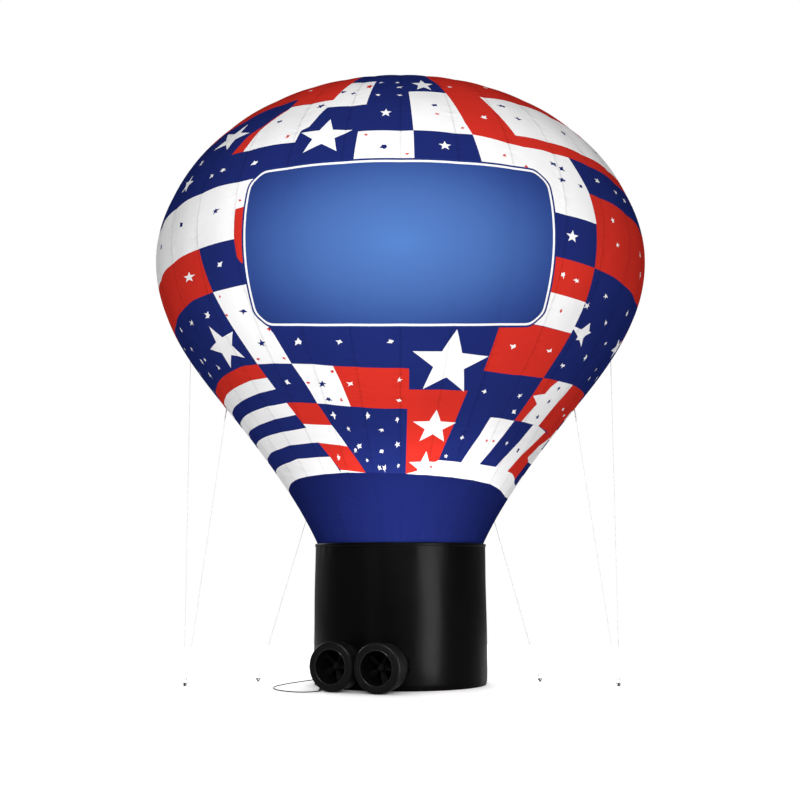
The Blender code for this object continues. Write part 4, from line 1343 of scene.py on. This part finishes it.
def drum_place(points, lift=0.0):
    """Points of the drum's cloth from (across, up), with soft dents and slack near the foot."""
    turn, up = points[..., 0] / DRUM_SHEET_RADIUS, points[..., 1]
    dents = np.sin(4 * turn + 2.3 * up) * np.sin(6.1 * up + 3 * turn) + 0.5 * np.sin(9 * turn - 3.7 * up)
    slack = np.exp(-(((up - 0.09) / 0.10) ** 2)) * (np.sin(15 * turn + 2 * np.sin(4 * turn)) - 0.6)
    gather = np.exp(-(((DRUM_TOP - up) / 0.09) ** 2)) * (np.sin(36 * turn + 2 * np.sin(5 * turn)) - 1.0)
    still = np.clip(up / 0.03, 0, 1)
    stand = DRUM_DENTS * (dents - 0.7) * still + DRUM_SLACK * slack * still + DRUM_GATHER * gather
    return wound(np.degrees(turn), drum_radius(up) + lift + stand, up)


def sleeve_mark(blower, angle, radius):
    """Place on the unrolled drum where a sleeve of this radius passes, at an angle round the sleeve."""
    _, x, y, heading = blower
    axis = np.array([math.sin(math.radians(heading)), math.cos(math.radians(heading))])
    side = np.array([axis[1], -axis[0]])
    up = RING_RADIUS + radius * np.sin(angle)
    start = np.array([x, y]) + side * (radius * np.cos(angle))[..., None]
    along = start @ axis
    apart = (start**2).sum(axis=-1) - drum_radius(up) ** 2
    reach = -along - np.sqrt(along**2 - apart)
    at = start + axis * reach[..., None]
    return np.stack([np.arctan2(at[..., 0], -at[..., 1]) * DRUM_SHEET_RADIUS, up], axis=-1)


def drum_facts(corners, middles):
    """Across the drum's panel, up, and the distance to its seam."""
    turn = np.degrees(corners[..., 0] / DRUM_SHEET_RADIUS)
    middle = np.degrees(middles[..., 0] / DRUM_SHEET_RADIUS)
    panel_middle = (np.floor(middle / DRUM_SEAM_TURN) + 0.5) * DRUM_SEAM_TURN
    across = np.radians(turn - panel_middle) * DRUM_SHEET_RADIUS
    edge = np.radians(DRUM_SEAM_TURN / 2) * DRUM_SHEET_RADIUS
    return np.stack([across, corners[..., 1], np.abs(edge - np.abs(across))], axis=-1)


def drum_pieces():
    half = math.pi * DRUM_SHEET_RADIUS
    rows = list(np.linspace(0.0, DRUM_TOP, round(DRUM_TOP / DRUM_STEP) + 1))
    rows.insert(1, 0.012)
    columns = list(np.linspace(-half, half, 180))
    border = [(-half, y) for y in rows[::-1]] + [(x, 0.0) for x in columns[1:-1]]
    border += [(half, y) for y in rows] + [(x, DRUM_TOP) for x in columns[-2:0:-1]]
    mouth = np.linspace(0, 2 * math.pi, 65)[:-1]
    holes = [[tuple(p) for p in sleeve_mark(blower, mouth, COLLAR_INNER)] for blower in BLOWERS]
    inner = [(x, y) for x in columns[1:-1] for y in rows[1:-1]]
    points, triangles, top_layer = cut_sheet(border, holes, inner, DRUM_STEP, (-half, half))
    piece = lay_out("drum_skin", points, triangles[top_layer == 0], drum_place, "vinyl", drum_facts)
    weld(piece)
    place_piece(piece, replaces=("drum_wall",))
    for blower in BLOWERS:
        collar_piece(blower)


def collar_piece(blower):
    """Flat ring of cloth sewn to the drum round a sleeve, as a grid of angles and radii."""
    angles, radii = np.linspace(-2 * math.pi, 0, 97), np.linspace(COLLAR_INNER, COLLAR_OUTER, 4)
    wide = len(angles)
    points = np.array([(x, y) for y in radii for x in angles])
    firsts = [row * wide + i for row in range(len(radii) - 1) for i in range(wide - 1)]
    triangles = [t for a in firsts for t in ((a, a + 1, a + wide + 1), (a, a + wide + 1, a + wide))]

    def place(p, lift=0.0020):
        return drum_place(sleeve_mark(blower, -p[..., 0], p[..., 1]), lift)

    def cut(corners, middles):
        along, radius = corners[..., 0] * COLLAR_MIDDLE, corners[..., 1]
        return np.stack([along, along, np.minimum(radius - COLLAR_INNER, COLLAR_OUTER - radius)], axis=-1)

    collar = lay_out(
        "sleeve_collar_" + blower[0], points, np.array(triangles), place, "vinyl", cut,
        rim=lambda p: place(p, 0.0001),
    )
    place_piece(collar)


def push_out(vertex, stand):
    """Move a vertex away from the Y axis."""
    radius = math.hypot(vertex.co.x, vertex.co.z)
    vertex.co.x *= 1 + stand / radius
    vertex.co.z *= 1 + stand / radius


def hem_piece():
    """Turned band that joins the skirt to the drum, with its folds."""
    shape = bmesh.new()
    span = (NECK_HEIGHT, NECK_HEIGHT - HEM_HEIGHT)
    hoop(shape, (HEM_INNER_RADIUS, HEM_RADIUS), span, [0.002, 0.010, 0.010, 0.002], 4, 360)
    gathers, waves, inward = 0.0007, 0.0012, 0.0018
    for vertex in shape.verts:
        x, z = vertex.co.x, vertex.co.z
        turn = math.atan2(z, x)
        if math.hypot(x, z) > HEM_INNER_RADIUS + 0.004:
            stand = gathers * math.sin(90 * turn + 2 * math.sin(7 * turn)) + waves * math.sin(6 * turn + 1)
            push_out(vertex, stand - inward)
    upright = turn_about(90, "X") @ Matrix.Scale(-1, 4, (0, 0, 1))
    finish_piece("hem_band", shape, "hem", ("drum_hem",), matrix=upright, sharp=50)


# Blowers, in their own axes


def screw(shape, at, out, radius=0.0045, number=0):
    """Pan head with a cross slot, standing out along a direction."""
    place = Matrix.Translation(at) @ turn_towards(Vector(out))
    profile = [(0.0, -0.001), (radius, -0.001), (radius, 0.0009), (radius * 0.72, 0.0021)]
    lathe(shape, profile + [(radius * 0.40, 0.0024), (0.0, 0.0024)], 16, number, matrix=place)
    # The cross slot takes the next look; on every screw here that is the deep black of painted shade
    half = radius * 0.55
    for turn in (0, 90):
        slot_at = place @ turn_about(turn)
        box(shape, (-half, 0.0019, -0.0005), (half, 0.0026, 0.0005), number=number + 1, matrix=slot_at)


def inlet_mouth(shape):
    back = RING_DEPTH - GAP
    corners = [(DUCT_RADIUS, back), (DUCT_RADIUS, 0), (RING_RADIUS, 0), (RING_RADIUS, back)]
    lathe(shape, rounded(corners, [0, 0.020, 0.034, 0.012], 8, closed=True), 128, closed=True)
    # Bead round the mouth, and a circle of six screws
    radius, along, size = 0.1632, 0.0038, 0.0034
    steps = np.linspace(0, 5.76, 12)
    bead = [(radius + size * math.cos(a), along - size * math.sin(a)) for a in steps]
    lathe(shape, bead, 128, 2, closed=True)
    radius = 0.190
    for k in range(6):
        angle = math.radians(30 + 60 * k)
        screw(shape, (radius * math.cos(angle), 0.0002, radius * math.sin(angle)), (0, -1, 0), 0.005)


def blower_body(shape):
    outer = HOUSING_RADIUS
    corners = [
        (DUCT_RADIUS, RING_DEPTH), (0.216, RING_DEPTH), (outer, 0.078), (outer, 0.212), (0.214, 0.238),
        (0.190, HOUSING_END), (SPIGOT_RADIUS, HOUSING_END), (SPIGOT_RADIUS, SPIGOT_END),
        (DUCT_RADIUS, SPIGOT_END),
    ]
    profile = rounded(corners, [0, 0.003, 0.004, 0.014, 0.010, 0.008, 0.004, 0.003, 0.002], 4, closed=True)
    lathe(shape, profile, 128, closed=True)
    # Two ribs at the joint of the mouldings, then lugs with screws over it, but none under the switch box
    joint, lug = MOULD_JOINT, 0.013
    for along in (joint - 0.006, joint + 0.006):
        hoop(shape, (outer - 0.001, outer + 0.0016), (along - 0.003, along + 0.003), 0.0012, 3)
    for k in (0, 1, 2, 3, 5, 6, 7):
        turn = turn_about(-22.5 - 45 * k)
        low, high = (outer - 0.002, joint - lug, -0.009), (outer + 0.006, joint + lug, 0.009)
        box(shape, low, high, 0.0025, 3, matrix=turn)
        screw(shape, turn @ Vector((outer + 0.0061, joint, 0)), turn @ Vector((1, 0, 0)), 0.0042)
    # Stiffening ribs on the rear shoulder
    for k in range(16):
        turn = turn_about(22.5 * k + 11.25)
        box(shape, (0.172, 0.246, -0.002), (0.205, 0.2535, 0.002), 0.0012, matrix=turn)


def sleeve_cloth(shape):
    inner, outer = SPIGOT_RADIUS + GAP, COLLAR_INNER - 0.0009
    along = list(np.linspace(SLEEVE_START + 0.001, SLEEVE_END, 26))
    lathe(shape, [(outer, y) for y in along] + [(inner, y) for y in along[::-1]], 160, closed=True)
    for vertex in shape.verts:
        x, y, z = vertex.co
        turn = math.atan2(z, x)
        # Folds fade under the strap and at the drum
        free = min(max((y - STRAP_END) / 0.02, 0), 1) * min(max((SLEEVE_END - y) / 0.02, 0), 1)
        edge = 0.5 if y < STRAP_START else 0
        fold = math.sin(22 * turn + 3 * math.sin(3 * turn) + 30 * y)
        if math.hypot(x, z) > inner + 0.001:
            push_out(vertex, (0.0018 * fold - 0.0012) * free + (0.0020 * fold + 0.001) * edge)


def strap(shape):
    band, start, end = COLLAR_INNER, STRAP_START, STRAP_END
    hoop(shape, (band, band + 0.0026), (start, end), 0.0008, 2)
    # Tail of the strap, its buckle with the tongue, and the pin, at the upper left
    for k in range(9):
        low, high = (band + 0.0022, start + 0.001, -0.0052), (band + 0.0040, end - 0.001, 0.0052)
        box(shape, low, high, 0.0004, 1, matrix=turn_about(-122 - 3 * k))
    turn = turn_about(-118)
    low, high = (band + 0.002, start - 0.0015, -0.013), (band + 0.0095, end + 0.0015, 0.013)
    box(shape, low, high, 0.002, 3, 1, turn)
    low, high = (band + 0.009, start + 0.001, -0.010), (band + 0.0125, end - 0.001, 0.004)
    box(shape, low, high, 0.0015, 3, 1, turn)
    pin = [turn @ Vector((band + 0.0075, y, 0.008)) for y in (start - 0.003, (start + end) / 2, end + 0.003)]
    tube(shape, pin, 0.0014, 12, 2)


def fan_drive(shape):
    """Motor with its shaft, cooling fins and clamp, on three struts."""
    profile = rounded(
        [(0.0, SHAFT_END), (SHAFT_RADIUS, SHAFT_END), (SHAFT_RADIUS, 0.150), (0.024, 0.150),
         (0.024, MOTOR_FRONT), (0.052, MOTOR_FRONT), (0.054, 0.176), (0.0535, FIN_START),
         (0.0535, FIN_END), (0.054, 0.226), (0.052, MOTOR_BACK), (0.0, MOTOR_BACK)],
        [0, 0.0008, 0.002, 0.001, 0.002, 0.006, 0, 0, 0, 0, 0.008, 0], 4,
    )
    lathe(shape, profile, 64)
    for k in range(32):
        turn = turn_about(11.25 * k)
        box(shape, (0.052, FIN_START, -0.0013), (MOTOR_RADIUS, FIN_END, 0.0013), 0.0005, 1, matrix=turn)
    middle = (MOTOR_FRONT + MOTOR_BACK) / 2
    hoop(shape, (0.0556, 0.0585), (middle - 0.011, middle + 0.011), 0.0008, 2, 64)
    reach = DUCT_RADIUS - 0.001
    for k in range(3):
        turn = turn_about(90 + 120 * k)
        # Strut, its foot on the motor and its foot on the duct: radii, half length, half width
        for start, end, long, wide in (
            (0.054, reach, 0.014, 0.0045),
            (0.0565, 0.064, 0.016, 0.012),
            (reach - 0.010, reach, 0.018, 0.013),
        ):
            box(shape, (start, middle - long, -wide), (end, middle + long, wide), 0.002, 3, matrix=turn)
        for way in (-1, 1):
            at = turn @ Vector((0.064, middle + 0.010 * way, 0.008 * way))
            screw(shape, at, turn @ Vector((1, 0, 0)), 0.0032, 1)


def fan_wheel(shape):
    hub = rounded(
        [(0.0, FAN_FRONT - 0.002), (0.030, FAN_FRONT), (FAN_HUB, FAN_FRONT + 0.016), (FAN_HUB, FAN_BACK),
         (FAN_HUB - 0.004, FAN_BACK), (BORE_RADIUS, FAN_BACK), (BORE_RADIUS, BORE_END), (0.0, BORE_END)],
        [0, 0.012, 0.008, 0.002, 0.002, 0, 0, 0], 5,
    )
    lathe(shape, hub, 64)
    nut = [(0.0, -0.006), (0.006, -0.006), (0.0068, -0.005), (0.0068, 0.002), (0.0, 0.002)]
    lathe(shape, [(radius, FAN_FRONT + along) for radius, along in nut], 6, 1)
    middle = (FAN_FRONT + FAN_BACK) / 2 + 0.004
    # Sections of a blade: radius, share of its full width, further twist in degrees
    spans = [
        (0.030, 0.50, 12), (0.050, 0.58, 8), (0.072, 0.72, 3), (0.095, 0.86, -1), (0.120, 0.95, -5),
        (0.140, 0.99, -7), (0.1495, 0.97, -8),
    ]
    for blade in range(FAN_BLADES):
        turn = turn_about(360 * blade / FAN_BLADES)
        rings = []
        for radius, width, more in spans:
            twist = BLADE_PITCH + math.radians(more)
            half = BLADE_WIDTH * width / 2
            across = Vector((0, math.sin(twist), math.cos(twist)))
            thick = Vector((0, math.cos(twist), -math.sin(twist)))
            centre = Vector((math.sqrt(radius**2 - (half * math.cos(twist)) ** 2), middle, 0))
            ring = []
            for along, up in circle(16):
                # Thicker at the leading edge, and curved like a shallow bowl
                body = BLADE_HALF_THICKNESS * up * (1.25 - 0.55 * along) + BLADE_CAMBER * (along**2 - 0.5)
                ring.append(shape.verts.new(turn @ (centre + across * half * along + thick * body)))
            rings.append(ring)
        loft(shape, rings)


def switch_case(shape):
    """Box with a lid, its rocker and a cable gland."""
    turn, half = Matrix.Rotation(-BOX_ANGLE, 4, "Y"), BOX_WIDTH / 2
    low, high = HOUSING_RADIUS + GAP, HOUSING_RADIUS + BOX_DEPTH
    # Body, gasket and lid: start and end outward, inset, rounded edge and its steps, number of the look
    for start, end, inset, edge, steps, number in (
        (low, high - 0.0085, 0, 0.0035, 4, 0), (low + 0.004, high - 0.005, 0.0015, 0.002, 2, 2),
        (high - 0.0078, high, 0, 0.0030, 4, 0),
    ):
        near, far = (start, BOX_START + inset, inset - half), (end, BOX_END - inset, half - inset)
        box(shape, near, far, edge, steps, number, turn)
    for y in (BOX_START + 0.008, BOX_END - 0.008):
        for z in (-half + 0.008, half - 0.008):
            screw(shape, turn @ Vector((high, y, z)), turn @ Vector((1, 0, 0)), 0.0030, 1)
    # Rocker in its frame, on the upper part of the lid
    middle = Vector((high, (BOX_START + BOX_END) / 2, half - 0.018))
    frame_at = Matrix.Translation(turn @ middle) @ turn
    box(shape, (-0.002, -0.0115, -0.0085), (0.0022, 0.0115, 0.0085), 0.0012, 3, 0, frame_at)
    tilt = frame_at @ turn_about(9, "Z")
    box(shape, (-0.001, -0.0095, -0.0065), (0.0042, 0.0095, 0.0065), 0.0016, 3, 2, tilt)
    # Gland: hexagon nut, dome and grip ribs, pointing left
    at = Matrix.Translation(gland_place()) @ turn_about(90, "Z")
    nut = [(0.0, -0.004), (0.0110, -0.004), (0.0110, 0.0030), (0.0103, 0.0040), (0.0, 0.0040)]
    lathe(shape, nut, 6, matrix=at)
    dome = [(0.0, 0.0038), (0.0098, 0.0038), (0.0098, 0.0105), (0.0080, GLAND_LENGTH), (0.0, GLAND_LENGTH)]
    lathe(shape, rounded(dome, [0, 0.0006, 0.002, 0.0015, 0], 4), 32, matrix=at)
    for k in range(16):
        place = at @ turn_about(22.5 * k)
        box(shape, (0.0094, 0.0048, -0.0007), (0.0104, 0.0102, 0.0007), 0.0003, 1, matrix=place)


def blank_case(shape):
    """Switch box without a lead: a plug fills its gland."""
    switch_case(shape)
    blank = [(0.0, 0.013), (0.0060, 0.013), (0.0060, 0.0165), (0.0, 0.0175)]
    at = Matrix.Translation(gland_place()) @ turn_about(90, "Z")
    lathe(shape, rounded(blank, [0, 0, 0.002, 0], 4), 24, 2, matrix=at)


def blower_pieces():
    for side, x, y, angle in BLOWERS:
        case, fan_body = switch_case if side == "left" else blank_case, side + "_fan"
        # Function, piece, node that it stands for, looks, slot, body, angle of sharp edges
        for make, name, stands_for, kinds, slot, body, sharp in (
            (inlet_mouth, "inlet_mouth", "inlet_ring", "plastic shadow lip", "black_plastic", "root", 32),
            (blower_body, "blower_body", "blower_housing", "plastic shadow", "black_plastic", "root", 32),
            (sleeve_cloth, "air_sleeve_cloth", "air_sleeve", "sleeve", "black_vinyl", "root", 60),
            (strap, "strap_and_buckle", "sleeve_strap", "webbing plastic steel", "webbing", "root", 32),
            (fan_drive, "fan_drive", "fan_motor", "shadow metal shadow", "dark_metal", "root", 32),
            (fan_wheel, "fan_wheel", "fan", "fan metal", "grey_plastic", fan_body, 40),
            (case, "switch_case", "switch_box", "plastic steel shadow", "black_plastic", "root", 32),
        ):
            shape = bmesh.new()
            make(shape)
            nodes, place = (f"{stands_for}_{side}",), blower_matrix(x, y, angle)
            finish_piece(f"{name}_{side}", shape, kinds, nodes, body, place, sharp)


# Anchors, tie-downs and guys


def anchor_pieces():
    for name, (x, y) in ANCHORS.items():
        shape = bmesh.new()
        shank = rounded(
            [(0.0, 0.0), (0.018, 0.0), (0.018, 0.004), (0.014, 0.006), (0.008, 0.0078), (0.0072, BAR_HEIGHT),
             (0.0, BAR_HEIGHT)],
            [0, 0.0008, 0.0012, 0.002, 0.002, 0.0, 0], 3,
        )
        lathe(shape, shank, 40, matrix=turn_about(90, "X"))
        half = BAR_LENGTH / 2
        bar = [(0.0, -half), (BAR_RADIUS, -half), (BAR_RADIUS, half), (0.0, half)]
        lying = Matrix.Translation((0, 0, BAR_HEIGHT)) @ turn_about(90, "Z")
        lathe(shape, rounded(bar, [0, 0.003, 0.003, 0], 5), 32, matrix=lying)
        # Weld bead where the shank meets the bar: it rises at two sides and dips at the others
        radius, low, rise = 0.0082, BAR_HEIGHT - 0.0056, 0.0019
        bead = [(radius * b, radius * a, low + rise * (a * a - b * b)) for a, b in circle(32)]
        tube(shape, bead, 0.0014, 8, closed=True)
        place = Matrix.Translation((x, y, 0))
        finish_piece("anchor_" + name, shape, "metal", ("ground_anchor_" + name,), matrix=place)


def tie_piece(name, azimuth, arc, anchor, slot):
    """Sewn patch with its webbing, the ring in its loop, and the guy down to the anchor."""
    radius = float(outline_at(arc)[0])

    def place(p, lift=0.0030, follow=0.6):
        return skin(azimuth + np.degrees(p[..., 0] / radius), arc - p[..., 1], lift, follow)

    def spot(up, lift):
        return Vector(place(np.array([0.0, up]), lift))

    grid = np.arange(-0.05, 0.051, 0.0085)
    patch = round_patch("tie_patch_" + name, PATCH_RADIUS, 48, grid, 0.048, 0.009, place, 0.0001)
    place_piece(patch, replaces=("tie_down_" + name,))

    start, sewn = spot(0.012, 0.0046), spot(-0.010, 0.0046)
    x, y = ANCHORS[anchor]
    foot = Vector((x + slot * BAR_OFFSET, y, BAR_HEIGHT))
    run = (foot - sewn).normalized()
    out = (spot(0.0, 1.0) - spot(0.0, 0.0)).normalized()
    wide = run.cross(out).normalized()
    end = sewn + run * WEBBING_REACH
    shape = bmesh.new()
    # Webbing: sewn down, then out to the ring and back, as one folded band
    half_thick, half = WEBBING_THICKNESS / 2, WEBBING_HALF_WIDTH
    path = [start, sewn, sewn + run * 0.020 + out * 0.0006, end]
    lift = out * 0.0018
    fold = [p + lift for p in path[::-1]]
    line = smooth_route(path, 0.006) + [end + run * 0.0040 + lift / 2] + smooth_route(fold, 0.006)
    rings = []
    for before, point, after in zip(line[:1] + line, line, line[1:] + line[-1:]):
        normal = wide.cross((after - before).normalized()).normalized()
        corners = ((1, 1), (-1, 1), (-1, -1), (1, -1))
        rings.append([shape.verts.new(point + wide * a * half + normal * b * half_thick) for a, b in corners])
    loft(shape, rings)
    # Ring of round bar, flat on its webbing side
    middle = lift / 2 + end
    loop = [middle + run * (0.008 + 0.0125 * max(a, -0.55)) + wide * 0.0140 * b for a, b in circle(28)]
    tube(shape, loop, RING_BAR_RADIUS, 10, 1, closed=True)
    finish_piece("tie_loop_" + name, shape, "pale_webbing steel", sharp=40)
    rope_piece(name, middle + run * 0.0195, foot, wide, slot or 1)


def rope_piece(name, top, foot, wide, way):
    """Guy: eye round the ring, the straight run with its knots, and turns round the anchor's bar."""
    direction = (foot - top).normalized()
    bar = Vector((1, 0, 0))
    level = bar.cross(direction).normalized()
    reach = BAR_RADIUS + ROPE_RADIUS
    away = (direction - bar * direction.dot(bar)).normalized()
    at_bar = foot + level * reach * 0.9 - away * 0.004
    last = at_bar - (at_bar - top).normalized() * 0.004
    steps, turns, pitch = 60, 1.5, 0.0064
    path = [top.lerp(last, t) for t in np.linspace(0, 1, steps)]
    for step in range(1, steps):
        angle = 2 * math.pi * turns * step / steps
        side = way * pitch * angle / (2 * math.pi)
        path.append(foot + level * reach * math.cos(angle) + away * reach * math.sin(angle) + bar * side)
    shape = bmesh.new()
    tube(shape, path, ROPE_RADIUS, 10)
    # Each knot is four turns of rope round the straight run
    across = (wide - direction * wide.dot(direction)).normalized()
    up = direction.cross(across)
    around = [(across * a + up * b) * KNOT_RADIUS for a, b in circle(14)]
    steps = 4 * len(around)
    for at in (top + direction * 0.010, last - direction * 0.050):
        knot = [at + direction * KNOT_LENGTH * k / steps + around[k % 14] for k in range(steps + 1)]
        tube(shape, knot, ROPE_RADIUS * 0.92, 8)
    centre, aside = top - direction * 0.001, wide.cross(direction) * 0.0058
    eye = [centre + direction * 0.0085 * a + aside * b for a, b in circle(20)]
    tube(shape, eye, ROPE_RADIUS * 0.92, 8, closed=True)
    finish_piece("guy_rope_" + name, shape, "rope", ("guy_" + name,), sharp=60)


# Studio


def seen_amount(tree, unseen, seen):
    """Strength that gives the backdrop's white to the camera alone."""
    path = node(tree, "LightPath", output="Is Camera Ray")
    return node(tree, "MapRange", {"Value": path, "To Min": unseen, "To Max": seen})


def make_floor():
    place = (0, 0, -0.0004)
    bpy.ops.mesh.primitive_circle_add(vertices=128, radius=FLOOR_RADIUS, fill_type="NGON", location=place)
    floor = bpy.context.object
    floor.name = "floor"
    look = Look("floor", 0.9, 0.0, colour=(0.88, 0.88, 0.88))
    look.shader.inputs["Emission Color"].default_value = (1, 1, 1, 1)
    # Painted contact shadow: ambient occlusion dims the floor's glow near the things that stand on it
    near = node(look.tree, "AmbientOcclusion", {"Distance": 0.3}, "AO", samples=8)
    look.set("Emission Strength", seen_amount(look.tree, 0.0, FLOOR_GLOW) * near)
    floor.data.materials.append(look.material)


def make_light():
    world = bpy.data.worlds.new("studio")
    bpy.context.scene.world = world
    world.use_nodes = True
    tree = world.node_tree
    background = tree.nodes["Background"]
    background.inputs["Color"].default_value = (1, 1, 1, 1)
    tree.links.new(seen_amount(tree, WORLD_LIGHT, 1.0).socket, background.inputs["Strength"])
    for name, place, target, wide, tall, power, spread, unseen_by in LIGHTS:
        light = bpy.data.lights.new(name, "AREA")
        light.shape = "RECTANGLE"
        light.size, light.size_y = wide, tall
        light.energy = power
        light.spread = math.radians(spread)
        holder = add_object(name, light)
        holder.location = place
        holder.rotation_euler = (Vector(target) - Vector(place)).to_track_quat("-Z", "Y").to_euler()
        holder.visible_glossy = unseen_by != "glossy"
        holder.visible_diffuse = unseen_by != "diffuse"
    bpy.context.scene.view_settings.view_transform = "Standard"


looks = {
    "red": cloth("print_red", lit(RED)),
    "white": cloth("print_white", WHITE_CLOTH),
    "navy": cloth("print_navy", lit(NAVY)),
    # The skirt's seams get less of the painted seam shade than the print's
    "skirt": cloth("skirt_navy", lit(SKIRT_NAVY), 0.96),
    "crown": cloth("patch_navy", lit(SKIRT_NAVY)),
    "banner": panel("banner_blue"),
    "banner_white": panel("banner_white", WHITE_CLOTH),
    "banner_edge": panel("banner_edge", lit(BANNER_EDGE)),
    "vinyl": vinyl("black_vinyl"),
    "sleeve": vinyl("sleeve_vinyl", seams=False),
    "hem": vinyl("hem_vinyl", rows=(NECK_HEIGHT - 0.026, NECK_HEIGHT - 0.006), seams=False),
    "plastic": plastic("black_plastic", linear((10, 9, 10))),
    # The bead at the mouth is paler and glossier than the other black plastic: its paler colour is a painted
    # highlight along the mouth's edge
    "lip": plastic("lip_plastic_painted_highlight", linear((18, 18, 19)), 0.28, 0.45),
    # The fan and the deep black are darker than the housing's plastic: painted shade of the duct's inside on
    # the fan, the motor, its clamp and struts, and painted shade in the screws' cross slots; the deep black
    # is also the own colour of the gasket, the rocker and the blank plug
    "fan": plastic("fan_plastic_painted_shade", linear((7, 7, 8)), 0.45, 0.06),
    "shadow": plastic("deep_black_and_painted_shade", linear((5, 5, 5)), 0.6, 0.05),
    "metal": painted_metal("dark_metal", linear((20, 20, 21)), 0.2),
    "steel": painted_metal("zinc_steel", linear((150, 150, 152)), 1.0, 0.35),
    "brass": painted_metal("plated_brass", linear((196, 176, 120)), 1.0, 0.3),
    "webbing": woven("webbing", linear((22, 22, 24)), 0.003),
    "pale_webbing": woven("pale_webbing", linear((226, 226, 230)), 0.003),
    "rope": woven("pale_rope", linear((238, 238, 241)), 0.0032, 0.0003),
    "rubber": rubber("black_rubber", linear((20, 19, 20))),
}

make_camera()
make_lead()
relief_piece()
make_light()
make_floor()
envelope_pieces()
crown_piece()
banner_pieces()
drum_pieces()
hem_piece()
blower_pieces()
anchor_pieces()
for guy in GUYS:
    tie_piece(*guy)

inside_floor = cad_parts["drum_floor"]
inside_floor.data.materials.clear()
inside_floor.data.materials.append(looks["vinyl"])
